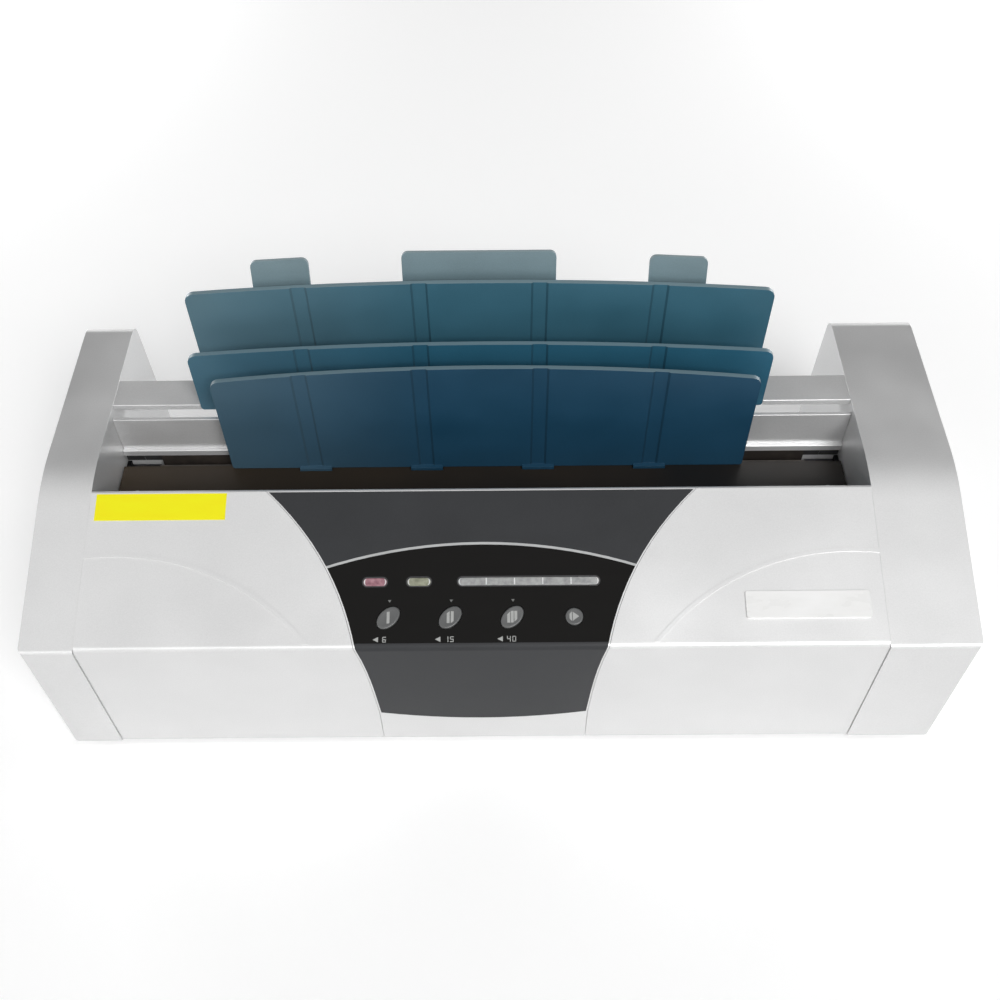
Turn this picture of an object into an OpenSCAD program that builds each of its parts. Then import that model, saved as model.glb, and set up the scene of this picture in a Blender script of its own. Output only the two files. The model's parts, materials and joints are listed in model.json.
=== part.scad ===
// Automatic thermal binding machine.
// Two end housings carry a sloping front cover, a document well with a motor-driven clamp
// over a heater plate, and a cooling rack of three plates on a rear crossbar.
// +X right, +Y back, +Z up, millimetres. The origin is on the table, under the middle.

/* [Body] */
// Overall width across both end housings
body_w = 430; // [415:1:460]
// Overall depth at the foot of the end housings
body_d = 190; // [184:1:210]
// Height of the flat tops above the table
top_h = 114.6; // [110:0.1:122]
// Height of the fold between the front face and the slope
fold_h = 88.5; // [84:0.5:92]
// Rise of the sloping front, from the horizontal
slope_deg = 17.9; // [16:0.1:20]
// Wall of every moulded housing
shell_t = 2.5; // [2:0.1:3]
// Height of the housings' lower edge above the table, which the feet fill
foot_h = 3; // [2:0.5:6]
// Radius of a rubber foot
foot_r = 8; // [6:0.5:9]
// Thickness of the base plate
base_t = 2.5; // [2:0.1:4]
// Gap between neighbouring fixed mouldings
seam = 0.2; // [0.15:0.05:0.4]

/* [End housings] */
// Width of the left end housing
left_w = 24.5; // [23:0.5:30]
// Width of the right end housing, which holds the motor and the mains parts
right_w = 41.2; // [40:0.2:50]
// How far the rear face leans out between the top and the foot
rear_lean = 6.2; // [3:0.1:8]
// Radius of the outer upright edges
housing_edge_r = 3; // [1:0.5:5]
// Radius where the slope bends into the flat top
bend_r = 90; // [40:5:120]
// Radius of the rear upper edge
rear_edge_r = 7; // [3:0.5:10]
// Radius of the fold on the end housings
housing_fold_r = 2.5; // [1:0.5:4]
// Distance of the housing screws from the middle of the depth
boss_y = 62; // [55:1:66]

/* [Front cover] */
// Distance of the cover's front face behind the housings' front face
cover_setback = 0.8; // [0.4:0.1:2]
// Height of the cover's slope above the housings' slope
cover_rise = 0.5; // [0.2:0.1:1.5]
// Distance from the housings' front face to the well's front edge
cover_run = 74.1; // [72:0.1:76]
// Radius of the cover's fold
cover_fold_r = 3; // [2.6:0.1:5]
// Radius of the cover's edge at the well
cover_edge_r = 1.5; // [1:0.1:2]
// Radius of the arched bead on each wing
wing_arc_r = 119; // [110:1:130]
// Distance of that arc's centre from the cover's end
wing_arc_in = 13.2; // [5:0.2:20]
// Distance up the slope of the top of that arc
wing_arc_top = 45.6; // [40:0.1:55]
// Width of the bead
wing_bead_w = 1.8; // [1:0.1:3]
// Height of the bead above the cover
wing_bead_h = 0.4; // [0.2:0.05:0.8]

/* [Control panel] */
// Width of the panel at its foot on the front face
panel_foot_w = 99.2; // [94:0.2:104]
// Width that steers the panel's waist
panel_waist_w = 105.3; // [100:0.1:112]
// Width of the panel at the well
panel_top_w = 202.8; // [190:0.2:220]
// Height of the panel's foot above the table
panel_foot_h = 29.5; // [20:0.5:40]
// Sag of the panel's curved lower edge
panel_foot_sag = 6; // [3:0.5:9]
// Silver border left beside the fascia
panel_border = 0.7; // [0.5:0.1:2]
// Thickness of the fascia and the window
fascia_t = 1.2; // [0.8:0.1:1.6]
// Distance up the slope of the top of the window's arc
window_arc_top = 49.7; // [46:0.1:54]
// Radius of the window's arc
window_arc_r = 232; // [200:1:280]
// Width of the silver line along the arc
trim_w = 1.2; // [0.8:0.1:2.5]

/* [Lenses and buttons] */
// Distance of the row of lenses up the slope
lens_s = 30.9; // [29:0.1:33]
// Width of a lens up the slope
lens_h = 3.9; // [3:0.1:5]
// Length of the power lens and of the insert lens
lens_w = 10.8; // [8:0.1:12]
// Length of the progress lens
progress_w = 64; // [60:0.5:70]
// Centre of the power lens, from the panel's middle
power_x = -48.1; // [-50:0.1:-46]
// Centre of the insert lens, from the panel's middle
insert_x = -28.2; // [-31:0.1:-26]
// Centre of the progress lens, from the panel's middle
progress_x = 21.5; // [18:0.1:23]
// Width of the bezel round a lens
bezel_w = 0.5; // [0.3:0.1:0.8]
// Distance of the row of buttons up the slope
button_s = 14.2; // [13:0.1:16]
// Spacing of the buttons
button_pitch = 27.8; // [24:0.1:29]
// Long diameter of an oval button
button_long = 12.2; // [10:0.1:14]
// Short diameter of an oval button
button_short = 8; // [6:0.1:9]
// Diameter of the round button
reset_d = 8; // [6:0.1:10]
// Height of a button above the window
button_proud = 0.9; // [0.4:0.1:1.5]
// Travel of a button
button_travel = 0.8; // [0.4:0.1:1]
// Gap round a button
button_gap = 0.35; // [0.3:0.05:0.5]

/* [Labels] */
// Length of the yellow sticker
sticker_w = 60.6; // [50:0.5:64]
// Width of the yellow sticker
sticker_h = 13; // [10:0.5:16]
// Distance of the sticker from the cover's left end
sticker_in = 2.8; // [1:0.2:10]
// Length of the white name strip
strip_w = 56; // [40:0.5:62]
// Width of the name strip
strip_h = 12.5; // [9:0.5:16]
// Distance of the strip from the cover's right end
strip_in = 7; // [4:0.2:14]
// Distance of the strip's lower edge up the slope
strip_s = 12.7; // [10:0.1:20]
// Thickness of a sticker
sticker_t = 0.25; // [0.15:0.05:0.4]
// Thickness of the name strip
strip_t = 1; // [0.4:0.1:1.5]

/* [Well and clamp] */
// Distance from the well's front edge to the face of its rear wall
well_d = 45.2; // [44:0.1:48]
// Thickness of the rear wall
rear_wall_t = 2; // [1.6:0.1:3]
// Distance of the rear wall's top below the housings' tops
rear_wall_drop = 4; // [3:0.1:6]
// Depth of the ledge on the rear wall
ledge_d = 2; // [1.6:0.1:3]
// Height of the ledge's face
ledge_h = 3.6; // [3:0.1:5]
// Height of the clamp deck's upper face above the table
deck_z = 84; // [82:0.5:86]
// Gap between the clamp's pad and the fixed pad, at rest
slot_gap = 4.6; // [4.4:0.1:6]
// Gap between a carriage and the end of the clamp's upright plate
jaw_end_gap = 2.15; // [1:0.05:8]
// Thickness of the clamp's sheet steel
jaw_t = 1.5; // [1.2:0.1:2]
// Thickness of a silicone pad
pad_t = 0.8; // [0.6:0.1:1]
// Depth of the clamp deck, from its front edge to the upright plate
deck_d = 39; // [37:0.2:39.4]
// Gap between the clamp deck and each end housing
deck_side_gap = 0.6; // [0.4:0.1:1.2]
// Farthest the clamp opens
clamp_open = 35.5; // [25:0.5:35.5]
// Farthest the clamp closes past its rest position
clamp_close = 3; // [1:0.5:3]

/* [Document plates] */
// Thickness of a teal plate
fin_t = 2.3; // [2:0.1:3]
// Width of the plate on the clamp
front_fin_w = 257; // [240:1:270]
// Distance of the front plate's middle to the right of the well's middle
front_fin_shift = 2.4; // [0:0.1:4]
// Height of the front plate's upper corners above the table
front_fin_corner = 146; // [140:0.5:155]
// How much higher the front plate is in its middle
front_fin_arch = 8.2; // [4:0.1:10]
// Width of the plate in front of the crossbar
middle_fin_w = 277.6; // [260:0.2:290]
// Height of the middle plate's upper corners above the table
middle_fin_corner = 147.5; // [140:0.5:155]
// How much higher the middle plate is in its middle
middle_fin_arch = 6.3; // [4:0.1:10]
// Width of the plate behind the crossbar
rear_fin_w = 275.6; // [260:0.2:290]
// Height of the rear plate's upper corners above the table
rear_fin_corner = 170.5; // [160:0.5:180]
// How much higher the rear plate is in its middle
rear_fin_arch = 6; // [4:0.1:10]
// Radius of a plate's corners
fin_corner_r = 5; // [3:0.5:7]
// Spacing of the shallow flutes in a plate
flute_pitch = 56; // [50:0.5:60]
// Width of a flute at its bottom
flute_w = 6; // [5:0.5:10]
// Width of a flute's sloping side
flute_side = 1; // [0.4:0.1:1.5]
// Depth of a flute
flute_t = 0.5; // [0.3:0.1:0.8]
// Thickness of the tabbed plate
back_plate_t = 2; // [1.6:0.1:3]
// Width of the tabbed plate
back_plate_w = 250; // [240:1:260]
// Width of the middle tab
mid_tab_w = 71.2; // [60:0.2:80]
// Width of an outer tab
side_tab_w = 26.8; // [20:0.2:30]
// Distance of an outer tab from the middle
side_tab_x = 92; // [85:0.5:98]
// Height of the middle tab above the table
mid_tab_z = 188; // [184:0.5:194]
// Height of an outer tab above the table
side_tab_z = 185.5; // [182:0.5:190]
// Backward lean of the tabs, in degrees
tab_lean = 15; // [8:1:20]

/* [Crossbar] */
// Gap between the rear wall and the crossbar
bar_gap = 6.9; // [5:0.1:9]
// Depth of the crossbar
bar_d = 14.8; // [12:0.1:18]
// Thickness of the crossbar
bar_t = 3.4; // [3:0.1:5]
// Distance of the crossbar's top below the housings' tops
bar_drop = 0.4; // [0.2:0.1:1.5]
// Height of the stiffening flange under the crossbar's rear edge
bar_flange_h = 12; // [8:0.5:16]

/* [Drive] */
// Module of every gear
gear_m = 1.5; // [1.5:0.1:1.6]
// Teeth of each rack pinion and of the motor pinion
pinion_teeth = 14; // [14:1:14]
// Teeth of the drive gear
gear_teeth = 28; // [26:1:29]
// Backlash of every mesh at the pitch line
backlash = 0.5; // [0.4:0.05:0.7]
// Extra distance between meshing pitch lines
mesh_gap = 0.1; // [0.05:0.05:0.2]
// Width of a gear's face
gear_face = 8; // [6:0.5:8]
// Radius of the drive shaft
shaft_r = 4; // [3:0.1:4.5]
// Height of the drive shaft above the table
shaft_z = 44; // [42:0.5:46]
// Distance of the drive shaft behind the cover's front face
shaft_run = 65.2; // [64:0.2:66]
// Radius of the motor's shaft
motor_shaft_r = 3; // [2:0.1:3.5]
// Radius of the gear motor's can
motor_r = 25; // [20:0.5:26]
// Depth of the gear motor's can
motor_t = 17; // [12:0.5:18]
// Radius of a guide rod
rod_r = 3; // [2.5:0.1:3.5]
// Height of the guide rods above the table
rod_z = 70; // [68:0.5:72]
// Running clearance of a shaft in its bore
run_fit = 0.06; // [0.03:0.01:0.09]
// Clearance of a part fixed in its seat
seat_fit = 0.05; // [0.03:0.01:0.1]
// Gap between a moving part and its nearest fixed neighbour
free_gap = 0.5; // [0.4:0.1:0.8]

/* [Heater] */
// Thickness of the aluminium heater plate
heater_t = 3; // [2:0.5:4]
// Distance of the clamp's lower edge below the deck's upper face
jaw_h = 20; // [18:0.5:22]
// Gap between the clamp's lower edge and the heater plate
heater_gap = 1; // [0.5:0.1:2]
// Thickness of the heating element
element_t = 1.5; // [1:0.1:2]
// Thickness of the tray under the element
tray_t = 4.5; // [3:0.5:6]

/* [Mains] */
// Height of the inlet's middle above the table
inlet_z = 46; // [44:0.5:50]
// Height of the rocker switch's middle above the table
switch_z = 80; // [76:0.5:84]
// Height of the power board above the base plate
board_lift = 6.5; // [5:0.5:10]
// Thickness of a circuit board
board_t = 1.6; // [1.2:0.1:2]
// Width of the power board
power_w = 124; // [120:1:140]
// Depth of the power board
power_d = 42; // [40:0.5:44]
// Distance of the power board behind the cover's front face
power_run = 8; // [7:0.5:10]
// Width of the transformer's core
core_w = 34; // [30:0.5:36]
// Depth of the transformer's core
core_d = 28; // [24:0.5:30]
// Height of the transformer
core_h = 26; // [20:0.5:28]
// Width of the relay
relay_w = 19; // [15:0.5:20]
// Depth of the relay
relay_d = 15.5; // [12:0.5:16]
// Height of the relay
relay_h = 15; // [12:0.5:20]
// Radius of the capacitor
capacitor_r = 5; // [4:0.5:6]
// Height of the capacitor
capacitor_h = 21; // [16:0.5:25]

/* [Hidden] */

$fn = 48;
EPS = 0.01;
SILVER = "#c9cacb";
CHARCOAL = "#45474a";
BLACK = "#1c1c1e";
TEAL = "#24566a";
STEEL = "#a9adb2";
DARK_STEEL = "#33302c";
GREEN = "#2f6b45";

// ---- Places worked out from the sizes above ----
slope_tan = tan(slope_deg);
front_y = -body_d / 2;
back_y = body_d / 2;
bend_y = front_y + (top_h - fold_h) / slope_tan;
lean_deg = atan(rear_lean / (top_h - foot_h));
left_in = -body_w / 2 + left_w;
right_in = body_w / 2 - right_w;
mid_x = (left_in + right_in) / 2;
base_top = foot_h + base_t;
left_mid = -body_w / 2 + left_w / 2;
right_mid = body_w / 2 - right_w / 2;

cover_y = front_y + cover_setback;
cover_fold_z = fold_h + cover_setback * slope_tan + cover_rise;
well_y = front_y + cover_run;
cover_top_z = cover_fold_z + (well_y - cover_y) * slope_tan;
cover_x0 = left_in + seam;
cover_x1 = right_in - seam;
slope_len = (well_y - cover_y) / cos(slope_deg);
face_len = cover_fold_z - panel_foot_h;
panel_len = face_len + slope_len;

wall_y = well_y + well_d;
panel_back_y = wall_y + rear_wall_t;
wall_top_z = top_h - rear_wall_drop;
pad_y = wall_y - ledge_d;
ledge_z = deck_z + 2;
clamp_y = pad_y - slot_gap;
jaw_y = clamp_y - pad_t;
lip_z = deck_z + 2.6;
tongue_top_z = deck_z + 1.6;
tongue_w = 16;
tongue_drop = 10;
plate_lift = 0.2;
plate_step = 0.5;

bar_y = panel_back_y + bar_gap;
bar_top_z = top_h - bar_drop;
bar_z = bar_top_z - bar_t;
middle_y = bar_y - fin_t;
rear_fin_y = bar_y + bar_d;

jaw_z = deck_z - jaw_h;
heater_z = jaw_z - heater_gap - heater_t;
element_z = heater_z - element_t;
tray_z = element_z - tray_t;

// The carriages fill the space between the slot's ends and the side frames.
frame_t = 2;
frame_top_z = deck_z - jaw_t - 2.5;
carriage_w = 12;
carriage_side = 4.5;
left_carriage_x = left_in + carriage_side;
right_carriage_x = right_in - carriage_side - carriage_w;
jaw_x0 = left_carriage_x + carriage_w + jaw_end_gap;
jaw_x1 = right_carriage_x - jaw_end_gap;
pitch_r = gear_m * pinion_teeth / 2;
drive_r = gear_m * gear_teeth / 2;
rack_pitch = PI * gear_m;
shaft_y = cover_y + shaft_run;
rack_z = shaft_z + pitch_r + mesh_gap;
addendum = 0.8 * gear_m;
dedendum = 1.1 * gear_m;
rack_root_z = rack_z + dedendum;
rack_first = -2;
rack_last = 9;
carriage_y0 = shaft_y + rack_first * rack_pitch - 2;
carriage_y1 = shaft_y + rack_last * rack_pitch + 2;
frame_y0 = carriage_y0 - clamp_open - 8;
frame_y1 = wall_y - seam;
tab_t = 3;
bush_w = 6;
bush_r = shaft_r + 2;
gear_x = right_in + shell_t + 3;
mesh_y = shaft_y + drive_r + pitch_r + mesh_gap;
bracket_x = gear_x + gear_face + 2.5;
bracket_t = 2;
motor_x = bracket_x + bracket_t;
motor_boss_r = motor_shaft_r + 5;
motor_y = mesh_y + 12;
motor_z = shaft_z - 4;

board_depth = 12;
board_x = 60;
board_s0 = 5;
board_s1 = 43;
button_x = [-1.5, -0.5, 0.5, 1.5] * button_pitch;
cover_under = fascia_t + shell_t;

// ---- Outline helpers ----
function unit(v) = v / norm(v);

// Points of one rounded corner between the edges p0-p1 and p1-p2.
function corner(p0, p1, p2, r, n) =
    let(u = unit(p0 - p1), w = unit(p2 - p1), half = acos(u * w) / 2)
    r <= 0 || half > 89.9 ? [p1] :
    let(c = p1 + unit(u + w) * r / sin(half), s = p1 + u * r / tan(half) - c, e = p1 + w * r / tan(half) - c,
        a = atan2(s.y, s.x), turn = ((atan2(e.y, e.x) - a + 540) % 360) - 180)
    [for (i = [0:n]) c + r * [cos(a + turn * i / n), sin(a + turn * i / n)]];

// A closed outline with a radius at each of its points.
function rounded(pts, radii, n = 6) =
    let(k = len(pts))
    [for (i = [0:k - 1]) each corner(pts[(i + k - 1) % k], pts[i], pts[(i + 1) % k], radii[i], n)];

// A counter-clockwise outline moved inwards by d.
function inset(pts, d) =
    let(k = len(pts))
    [for (i = [0:k - 1])
        let(a = unit(pts[i] - pts[(i + k - 1) % k]), b = unit(pts[(i + 1) % k] - pts[i]),
            m = [-a.y, a.x], n = [-b.y, b.x])
        pts[i] + d * (m + n) / (1 + m * n)];

function less(radii, d) = [for (r = radii) max(r - d, 0)];

// Sideways, fore-and-aft and level slabs of a flat outline.
module yz(x0, x1) { translate([x0, 0, 0]) rotate([90, 0, 90]) linear_extrude(x1 - x0) children(); }
module xz(y0, y1) { translate([0, y1, 0]) rotate([90, 0, 0]) linear_extrude(y1 - y0) children(); }
module xy(z0, z1) { translate([0, 0, z0]) linear_extrude(z1 - z0) children(); }

// A block, and a block that reaches from x by a signed width.
module box(x0, x1, y0, y1, z0, z1) { translate([x0, y0, z0]) cube([x1 - x0, y1 - y0, z1 - z0]); }
module from_x(x, w, y0, y1, z0, z1) { box(min(x, x + w), max(x, x + w), y0, y1, z0, z1); }

// Slab from depth d0 to d1 above the cover's slope, drawn in x from the panel's middle and s up the slope.
module on_slope(d0, d1) {
    translate([mid_x, cover_y, cover_fold_z]) rotate([slope_deg, 0, 0])
        translate([0, 0, d0]) linear_extrude(d1 - d0) children();
}

// A long outline with round ends.
module pill(w, h) {
    square([w - h, h], center = true);
    for (side = [-1, 1]) translate([side * (w - h) / 2, 0]) circle(d = h);
}

function oval_pts(a, b, grow = 0, n = 40) =
    [for (i = [0:n - 1]) let(t = 360 * i / n)
        let(u = (a / 2 + grow) * cos(t), v = (b / 2 + grow) * sin(t))
        [(u - v) * sqrt(0.5), (u + v) * sqrt(0.5)]];

// ---- Housings ----
function housing_pts() = [[front_y, foot_h], [back_y, foot_h], [back_y - rear_lean, top_h],
    [bend_y, top_h], [front_y, fold_h]];
function housing_radii() = [0, 0, rear_edge_r, bend_r, housing_fold_r];
function cavity_pts() = let(p = inset(housing_pts(), shell_t))
    [[p[0].x, foot_h - 1], [p[1].x, foot_h - 1], p[2], p[3], p[4]];

// One end housing: outer face at x_out, face towards the well at x_in.
module end_housing(x_out, x_in) {
    x0 = min(x_out, x_in);
    x1 = max(x_out, x_in);
    r = housing_edge_r;
    low_r = x_out < x_in ? r : 0;
    high_r = r - low_r;
    inner_x = x_in + (x_out < x_in ? -shell_t : shell_t);
    difference() {
        intersection() {
            yz(x0, x1) polygon(rounded(housing_pts(), housing_radii()));
            xy(0, top_h + 1) polygon(rounded([[x0, front_y], [x1, front_y], [x1, back_y], [x0, back_y]],
                [low_r, high_r, high_r, low_r]));
        }
        yz(x0 + shell_t, x1 - shell_t) polygon(rounded(cavity_pts(), less(housing_radii(), shell_t)));
        box(min(x_in, inner_x) - EPS, max(x_in, inner_x) + EPS, front_y + shell_t, wall_y, 0, base_top);
    }
}

boss_r = 4;
boss_h = 12;
pilot_r = 1.5;
rib_t = 2;

// Screw boss of a housing, tied to its outer wall by a rib.
module housing_boss(x, x_wall, y) {
    difference() {
        union() {
            translate([x, y, base_top]) cylinder(r = boss_r, h = boss_h);
            box(min(x, x_wall), max(x, x_wall), y - rib_t / 2, y + rib_t / 2, base_top, base_top + boss_h);
        }
        translate([x, y, base_top - 1]) cylinder(r = pilot_r + seat_fit, h = boss_h - 1);
    }
}

module left_end_housing() {
    color(SILVER) {
        end_housing(-body_w / 2, left_in);
        for (y = [-boss_y, boss_y]) housing_boss(left_mid, -body_w / 2 + shell_t, y);
    }
}

// Places a thing on the right housing's leaning rear face, at height z: +Y points out of it.
module on_rear(z) {
    translate([right_mid, back_y - (z - foot_h) * tan(lean_deg), z]) rotate([lean_deg, 0, 0]) children();
}

inlet_w = 27.2;
inlet_h = 19.8;
switch_w = 13;
switch_h = 19.4;
wall_span = 10;

module right_end_housing() {
    color(SILVER) difference() {
        union() {
            end_housing(body_w / 2, right_in);
            for (y = [-boss_y, boss_y]) housing_boss(right_mid, body_w / 2 - shell_t, y);
        }
        on_rear(inlet_z) cube([inlet_w, wall_span, inlet_h] + [1, 0, 1] * 2 * seam, center = true);
        on_rear(switch_z) cube([switch_w, wall_span, switch_h] + [1, 0, 1] * 2 * seam, center = true);
        translate([right_in - 1, shaft_y, shaft_z]) rotate([0, 90, 0])
            cylinder(r = bush_r + 1, h = shell_t + 2);
        box(right_in - 1, right_in + shell_t + 1, front_y + 20, front_y + 36, base_top + 2, base_top + 14);
    }
}

// Outline of the base in plan: a tray under the body with a leg into each housing.
module base_outline(d) {
    x0 = -body_w / 2 + shell_t + d;
    x1 = body_w / 2 - shell_t - d;
    y0 = cover_y + cover_under + d;
    y1 = wall_y - d;
    leg_y = back_y - shell_t - d - 0.3;
    translate([x0, y0]) square([x1 - x0, y1 - y0]);
    translate([x0, y0]) square([left_in - shell_t - d - x0, leg_y - y0]);
    translate([right_in + shell_t + d, y0]) square([x1 - right_in - shell_t - d, leg_y - y0]);
}

screw_head_r = 2.8;
screw_head_h = 1.6;
module screw_hole(x, y) {
    translate([x, y, foot_h - 1]) cylinder(r = pilot_r + 0.2, h = base_t + 2);
    translate([x, y, foot_h - 1]) cylinder(r = screw_head_r + 0.2, h = 1 + screw_head_h);
}

function housing_screw_pts() = [for (x = [left_mid, right_mid], y = [-boss_y, boss_y]) [x, y]];
frame_foot_w = 9;
function frame_screw_pts() = let(foot_mid = frame_t + frame_foot_w / 2)
    [for (x = [left_in + foot_mid, right_in - foot_mid], y = [frame_y0 + 10, frame_y1 - 10]) [x, y]];
board_post_r = 3;
power_x0 = mid_x - power_w / 2;
power_x1 = mid_x + power_w / 2;
power_y0 = cover_y + power_run;
power_y1 = power_y0 + power_d;
post_in = 5;
function board_post_pts() = [for (x = [power_x0 + post_in, power_x1 - post_in],
    y = [power_y0 + post_in, power_y1 - post_in]) [x, y]];
vent_l = 40;
vent_w = 3;
vent_in = 72;
vent_x = (right_in - left_in) / 2 - vent_in;

module base_plate() {
    color(BLACK) {
        difference() {
            xy(foot_h, base_top) base_outline(seam);
            for (p = concat(housing_screw_pts(), frame_screw_pts())) screw_hole(p.x, p.y);
            for (side = [-1, 1], i = [0:7])
                translate([mid_x + side * vent_x, i * 2 * vent_w - 26, foot_h - 1]) linear_extrude(base_t + 2)
                    pill(vent_l, vent_w);
        }
        for (p = board_post_pts()) translate([p.x, p.y, base_top]) cylinder(r = board_post_r, h = board_lift);
    }
}

module rubber_feet() {
    color("#202020") for (x = [left_mid, right_mid], y = [-1, 1] * (boss_y + foot_r + 6))
        translate([x, y, 0]) cylinder(r = foot_r, h = foot_h);
}

// ---- Front cover ----
function cover_pts() = [[cover_y, foot_h], [well_y, foot_h], [well_y, cover_top_z], [cover_y, cover_fold_z]];
function cover_radii() = [0, 0, cover_edge_r, cover_fold_r];
function sunk(d) = let(p = inset(cover_pts(), d)) [[p[0].x, foot_h - 1], [p[1].x, foot_h - 1], p[2], p[3]];

// Section of the cover's skin, from depth d0 to depth d1 under its outer face: a negative depth is outside.
module cover_section(d0, d1) {
    difference() {
        polygon(rounded(d0 == 0 ? cover_pts() : sunk(d0), less(cover_radii(), d0)));
        polygon(rounded(sunk(d1), less(cover_radii(), d1)));
        translate([cover_y + d1 + EPS, 0]) square([well_y - cover_y, lip_z]);
    }
}

function bezier(a, b, c, d, u) =
    a * pow(1 - u, 3) + 3 * b * u * pow(1 - u, 2) + 3 * c * u * u * (1 - u) + d * pow(u, 3);

// Half width of the fascia at the distance t along the cover's skin from the panel's foot.
function panel_half(t) =
    bezier(panel_foot_w, panel_waist_w, panel_waist_w, panel_top_w, t / panel_len) / 2;

face_steps = 6;
slope_steps = 12;
panel_back_gap = 2.2;
function face_side() = [for (i = [0:face_steps])
    let(t = face_len * i / face_steps) [panel_half(t), panel_foot_h + t]];
function slope_side(s_end) = [for (i = [0:slope_steps])
    let(s = s_end * i / slope_steps) [panel_half(face_len + s), s]];
function mirrored(side, grow) = concat([for (p = side) [p.x + grow, p.y]],
    [for (i = [len(side) - 1:-1:0]) [-side[i].x - grow, side[i].y]]);

zone_depth = 12;

// The part of the front that the centre cover fills, grown sideways by grow.
module panel_zone(grow) {
    foot = [[panel_foot_w / 2, foot_h - 1]];
    back = [[panel_top_w / 2, slope_len + 5]];
    translate([mid_x, 0, 0]) {
        xz(front_y - 1, cover_y + cover_under + seam) polygon(mirrored(concat(foot, face_side()), grow));
        xz(well_y - cover_under - seam, well_y + 1)
            polygon(mirrored([[panel_top_w / 2, foot_h - 1], [panel_top_w / 2, cover_top_z - 6]], grow));
    }
    on_slope(-zone_depth, 5) polygon(mirrored(concat(slope_side(slope_len), back), grow));
}

// The part of the front that the fascia covers: it ends in a sagging curve on the front face.
module fascia_zone() {
    w = panel_foot_w / 2;
    foot = [for (i = [0:6]) let(x = w * i / 6) [x, panel_foot_h - panel_foot_sag * (1 - pow(x / w, 2))]];
    translate([mid_x, 0, 0]) xz(front_y - 1, cover_y + shell_t)
        polygon(mirrored(concat(foot, [for (i = [1:face_steps]) face_side()[i]]), 0));
    on_slope(-fascia_t - 1, 5) polygon(mirrored(slope_side(slope_len - panel_back_gap), 0));
}

bead_foot = 0.3;
bead_s0 = 2.4;
module wing_bead(side) {
    end_x = side * (cover_x1 - mid_x);
    on_slope(-bead_foot, wing_bead_h) intersection() {
        translate([end_x - side * wing_arc_in, wing_arc_top - wing_arc_r]) difference() {
            circle(r = wing_arc_r, $fn = 180);
            circle(r = wing_arc_r - wing_bead_w, $fn = 180);
        }
        translate([min(0, end_x), bead_s0]) square([abs(end_x), wing_arc_top]);
    }
}

module wing_cover(side) {
    color(SILVER) difference() {
        union() {
            yz(side < 0 ? cover_x0 : mid_x, side < 0 ? mid_x : cover_x1) cover_section(0, shell_t);
            wing_bead(side);
        }
        panel_zone(panel_border + seam);
    }
}
module left_wing_cover() { wing_cover(-1); }
module right_wing_cover() { wing_cover(1); }

LENSES = [[power_x, lens_w], [insert_x, lens_w], [progress_x, progress_w]];
proud_bezel = 0.3;
proud_lens = 0.2;
lens_depth = 6.2;
led_r = 1.5;
led_gap = 0.3;
segments = 5;
segment_line = 0.5;
function segment_x(i) = progress_x + progress_w * (i / segments - 0.5);

module each_lens() {
    for (lens = LENSES) translate([lens[0], lens_s]) pill(lens[1] + 2 * bezel_w, lens_h + 2 * bezel_w);
}

// Outline of button i, grown by grow: three slanted ovals and a round one.
module button_outline(i, grow) {
    translate([button_x[i], button_s]) {
        if (i < 3) polygon(oval_pts(button_long, button_short, grow));
        else circle(d = reset_d + 2 * grow);
    }
}

module panel_holes() {
    on_slope(-cover_under - 1, 2) {
        each_lens();
        for (i = [0:3]) button_outline(i, button_gap);
    }
}

board_boss_r = 3;
board_screw_r = 1;
board_screw_in = 4;
function board_screw_pts() = [for (side = [-1, 1], s = [board_s0 + board_screw_in, board_s1 - board_screw_in])
    [side * (board_x - board_screw_in - 1), s]];

module centre_cover() {
    color(SILVER) {
        difference() {
            intersection() {
                yz(cover_x0, cover_x1) cover_section(0, cover_under);
                panel_zone(panel_border);
            }
            intersection() {
                yz(cover_x0, cover_x1) cover_section(-1, fascia_t);
                fascia_zone();
            }
            panel_holes();
        }
        difference() {
            on_slope(-board_depth, 1 - cover_under)
                for (p = board_screw_pts()) translate(p) circle(r = board_boss_r);
            on_slope(-board_depth - 1, -cover_under - 1)
                for (p = board_screw_pts()) translate(p) circle(r = board_screw_r + seat_fit);
        }
    }
}

window_t = 0.6;
window_s0 = 2.6;
function arc_s(x, drop) = window_arc_top - drop - window_arc_r + sqrt(pow(window_arc_r, 2) - x * x);

window_half = panel_half(face_len + window_arc_top) + 5;
function arc_pts(drop) = [for (i = [10:-1:-10]) let(x = window_half * i / 10) [x, arc_s(x, drop)]];

// Strip of the slope from s0 up to the window's arc, lowered by drop.
module below_arc(s0, drop) {
    on_slope(-window_t, 2) polygon(concat([[-window_half, s0], [window_half, s0]], arc_pts(drop)));
}

module fascia_skin() {
    difference() {
        intersection() {
            yz(cover_x0, cover_x1) cover_section(0, fascia_t);
            fascia_zone();
        }
        panel_holes();
    }
}
module panel_fascia() {
    color(CHARCOAL) difference() {
        fascia_skin();
        below_arc(window_s0, 0);
    }
}
module display_window() {
    color(BLACK) intersection() {
        fascia_skin();
        below_arc(window_s0, trim_w);
    }
}
module panel_trim() {
    low = arc_pts(trim_w);
    color(SILVER) intersection() {
        fascia_skin();
        on_slope(-window_t, 2)
            polygon(concat(arc_pts(0), [for (i = [len(low) - 1:-1:0]) low[i]]));
    }
}

module lens_bezels() {
    color("#d8d9da") on_slope(-fascia_t, proud_bezel) for (lens = LENSES) translate([lens[0], lens_s])
        difference() {
            pill(lens[1] + 2 * bezel_w, lens_h + 2 * bezel_w);
            pill(lens[1], lens_h);
        }
}

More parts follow.
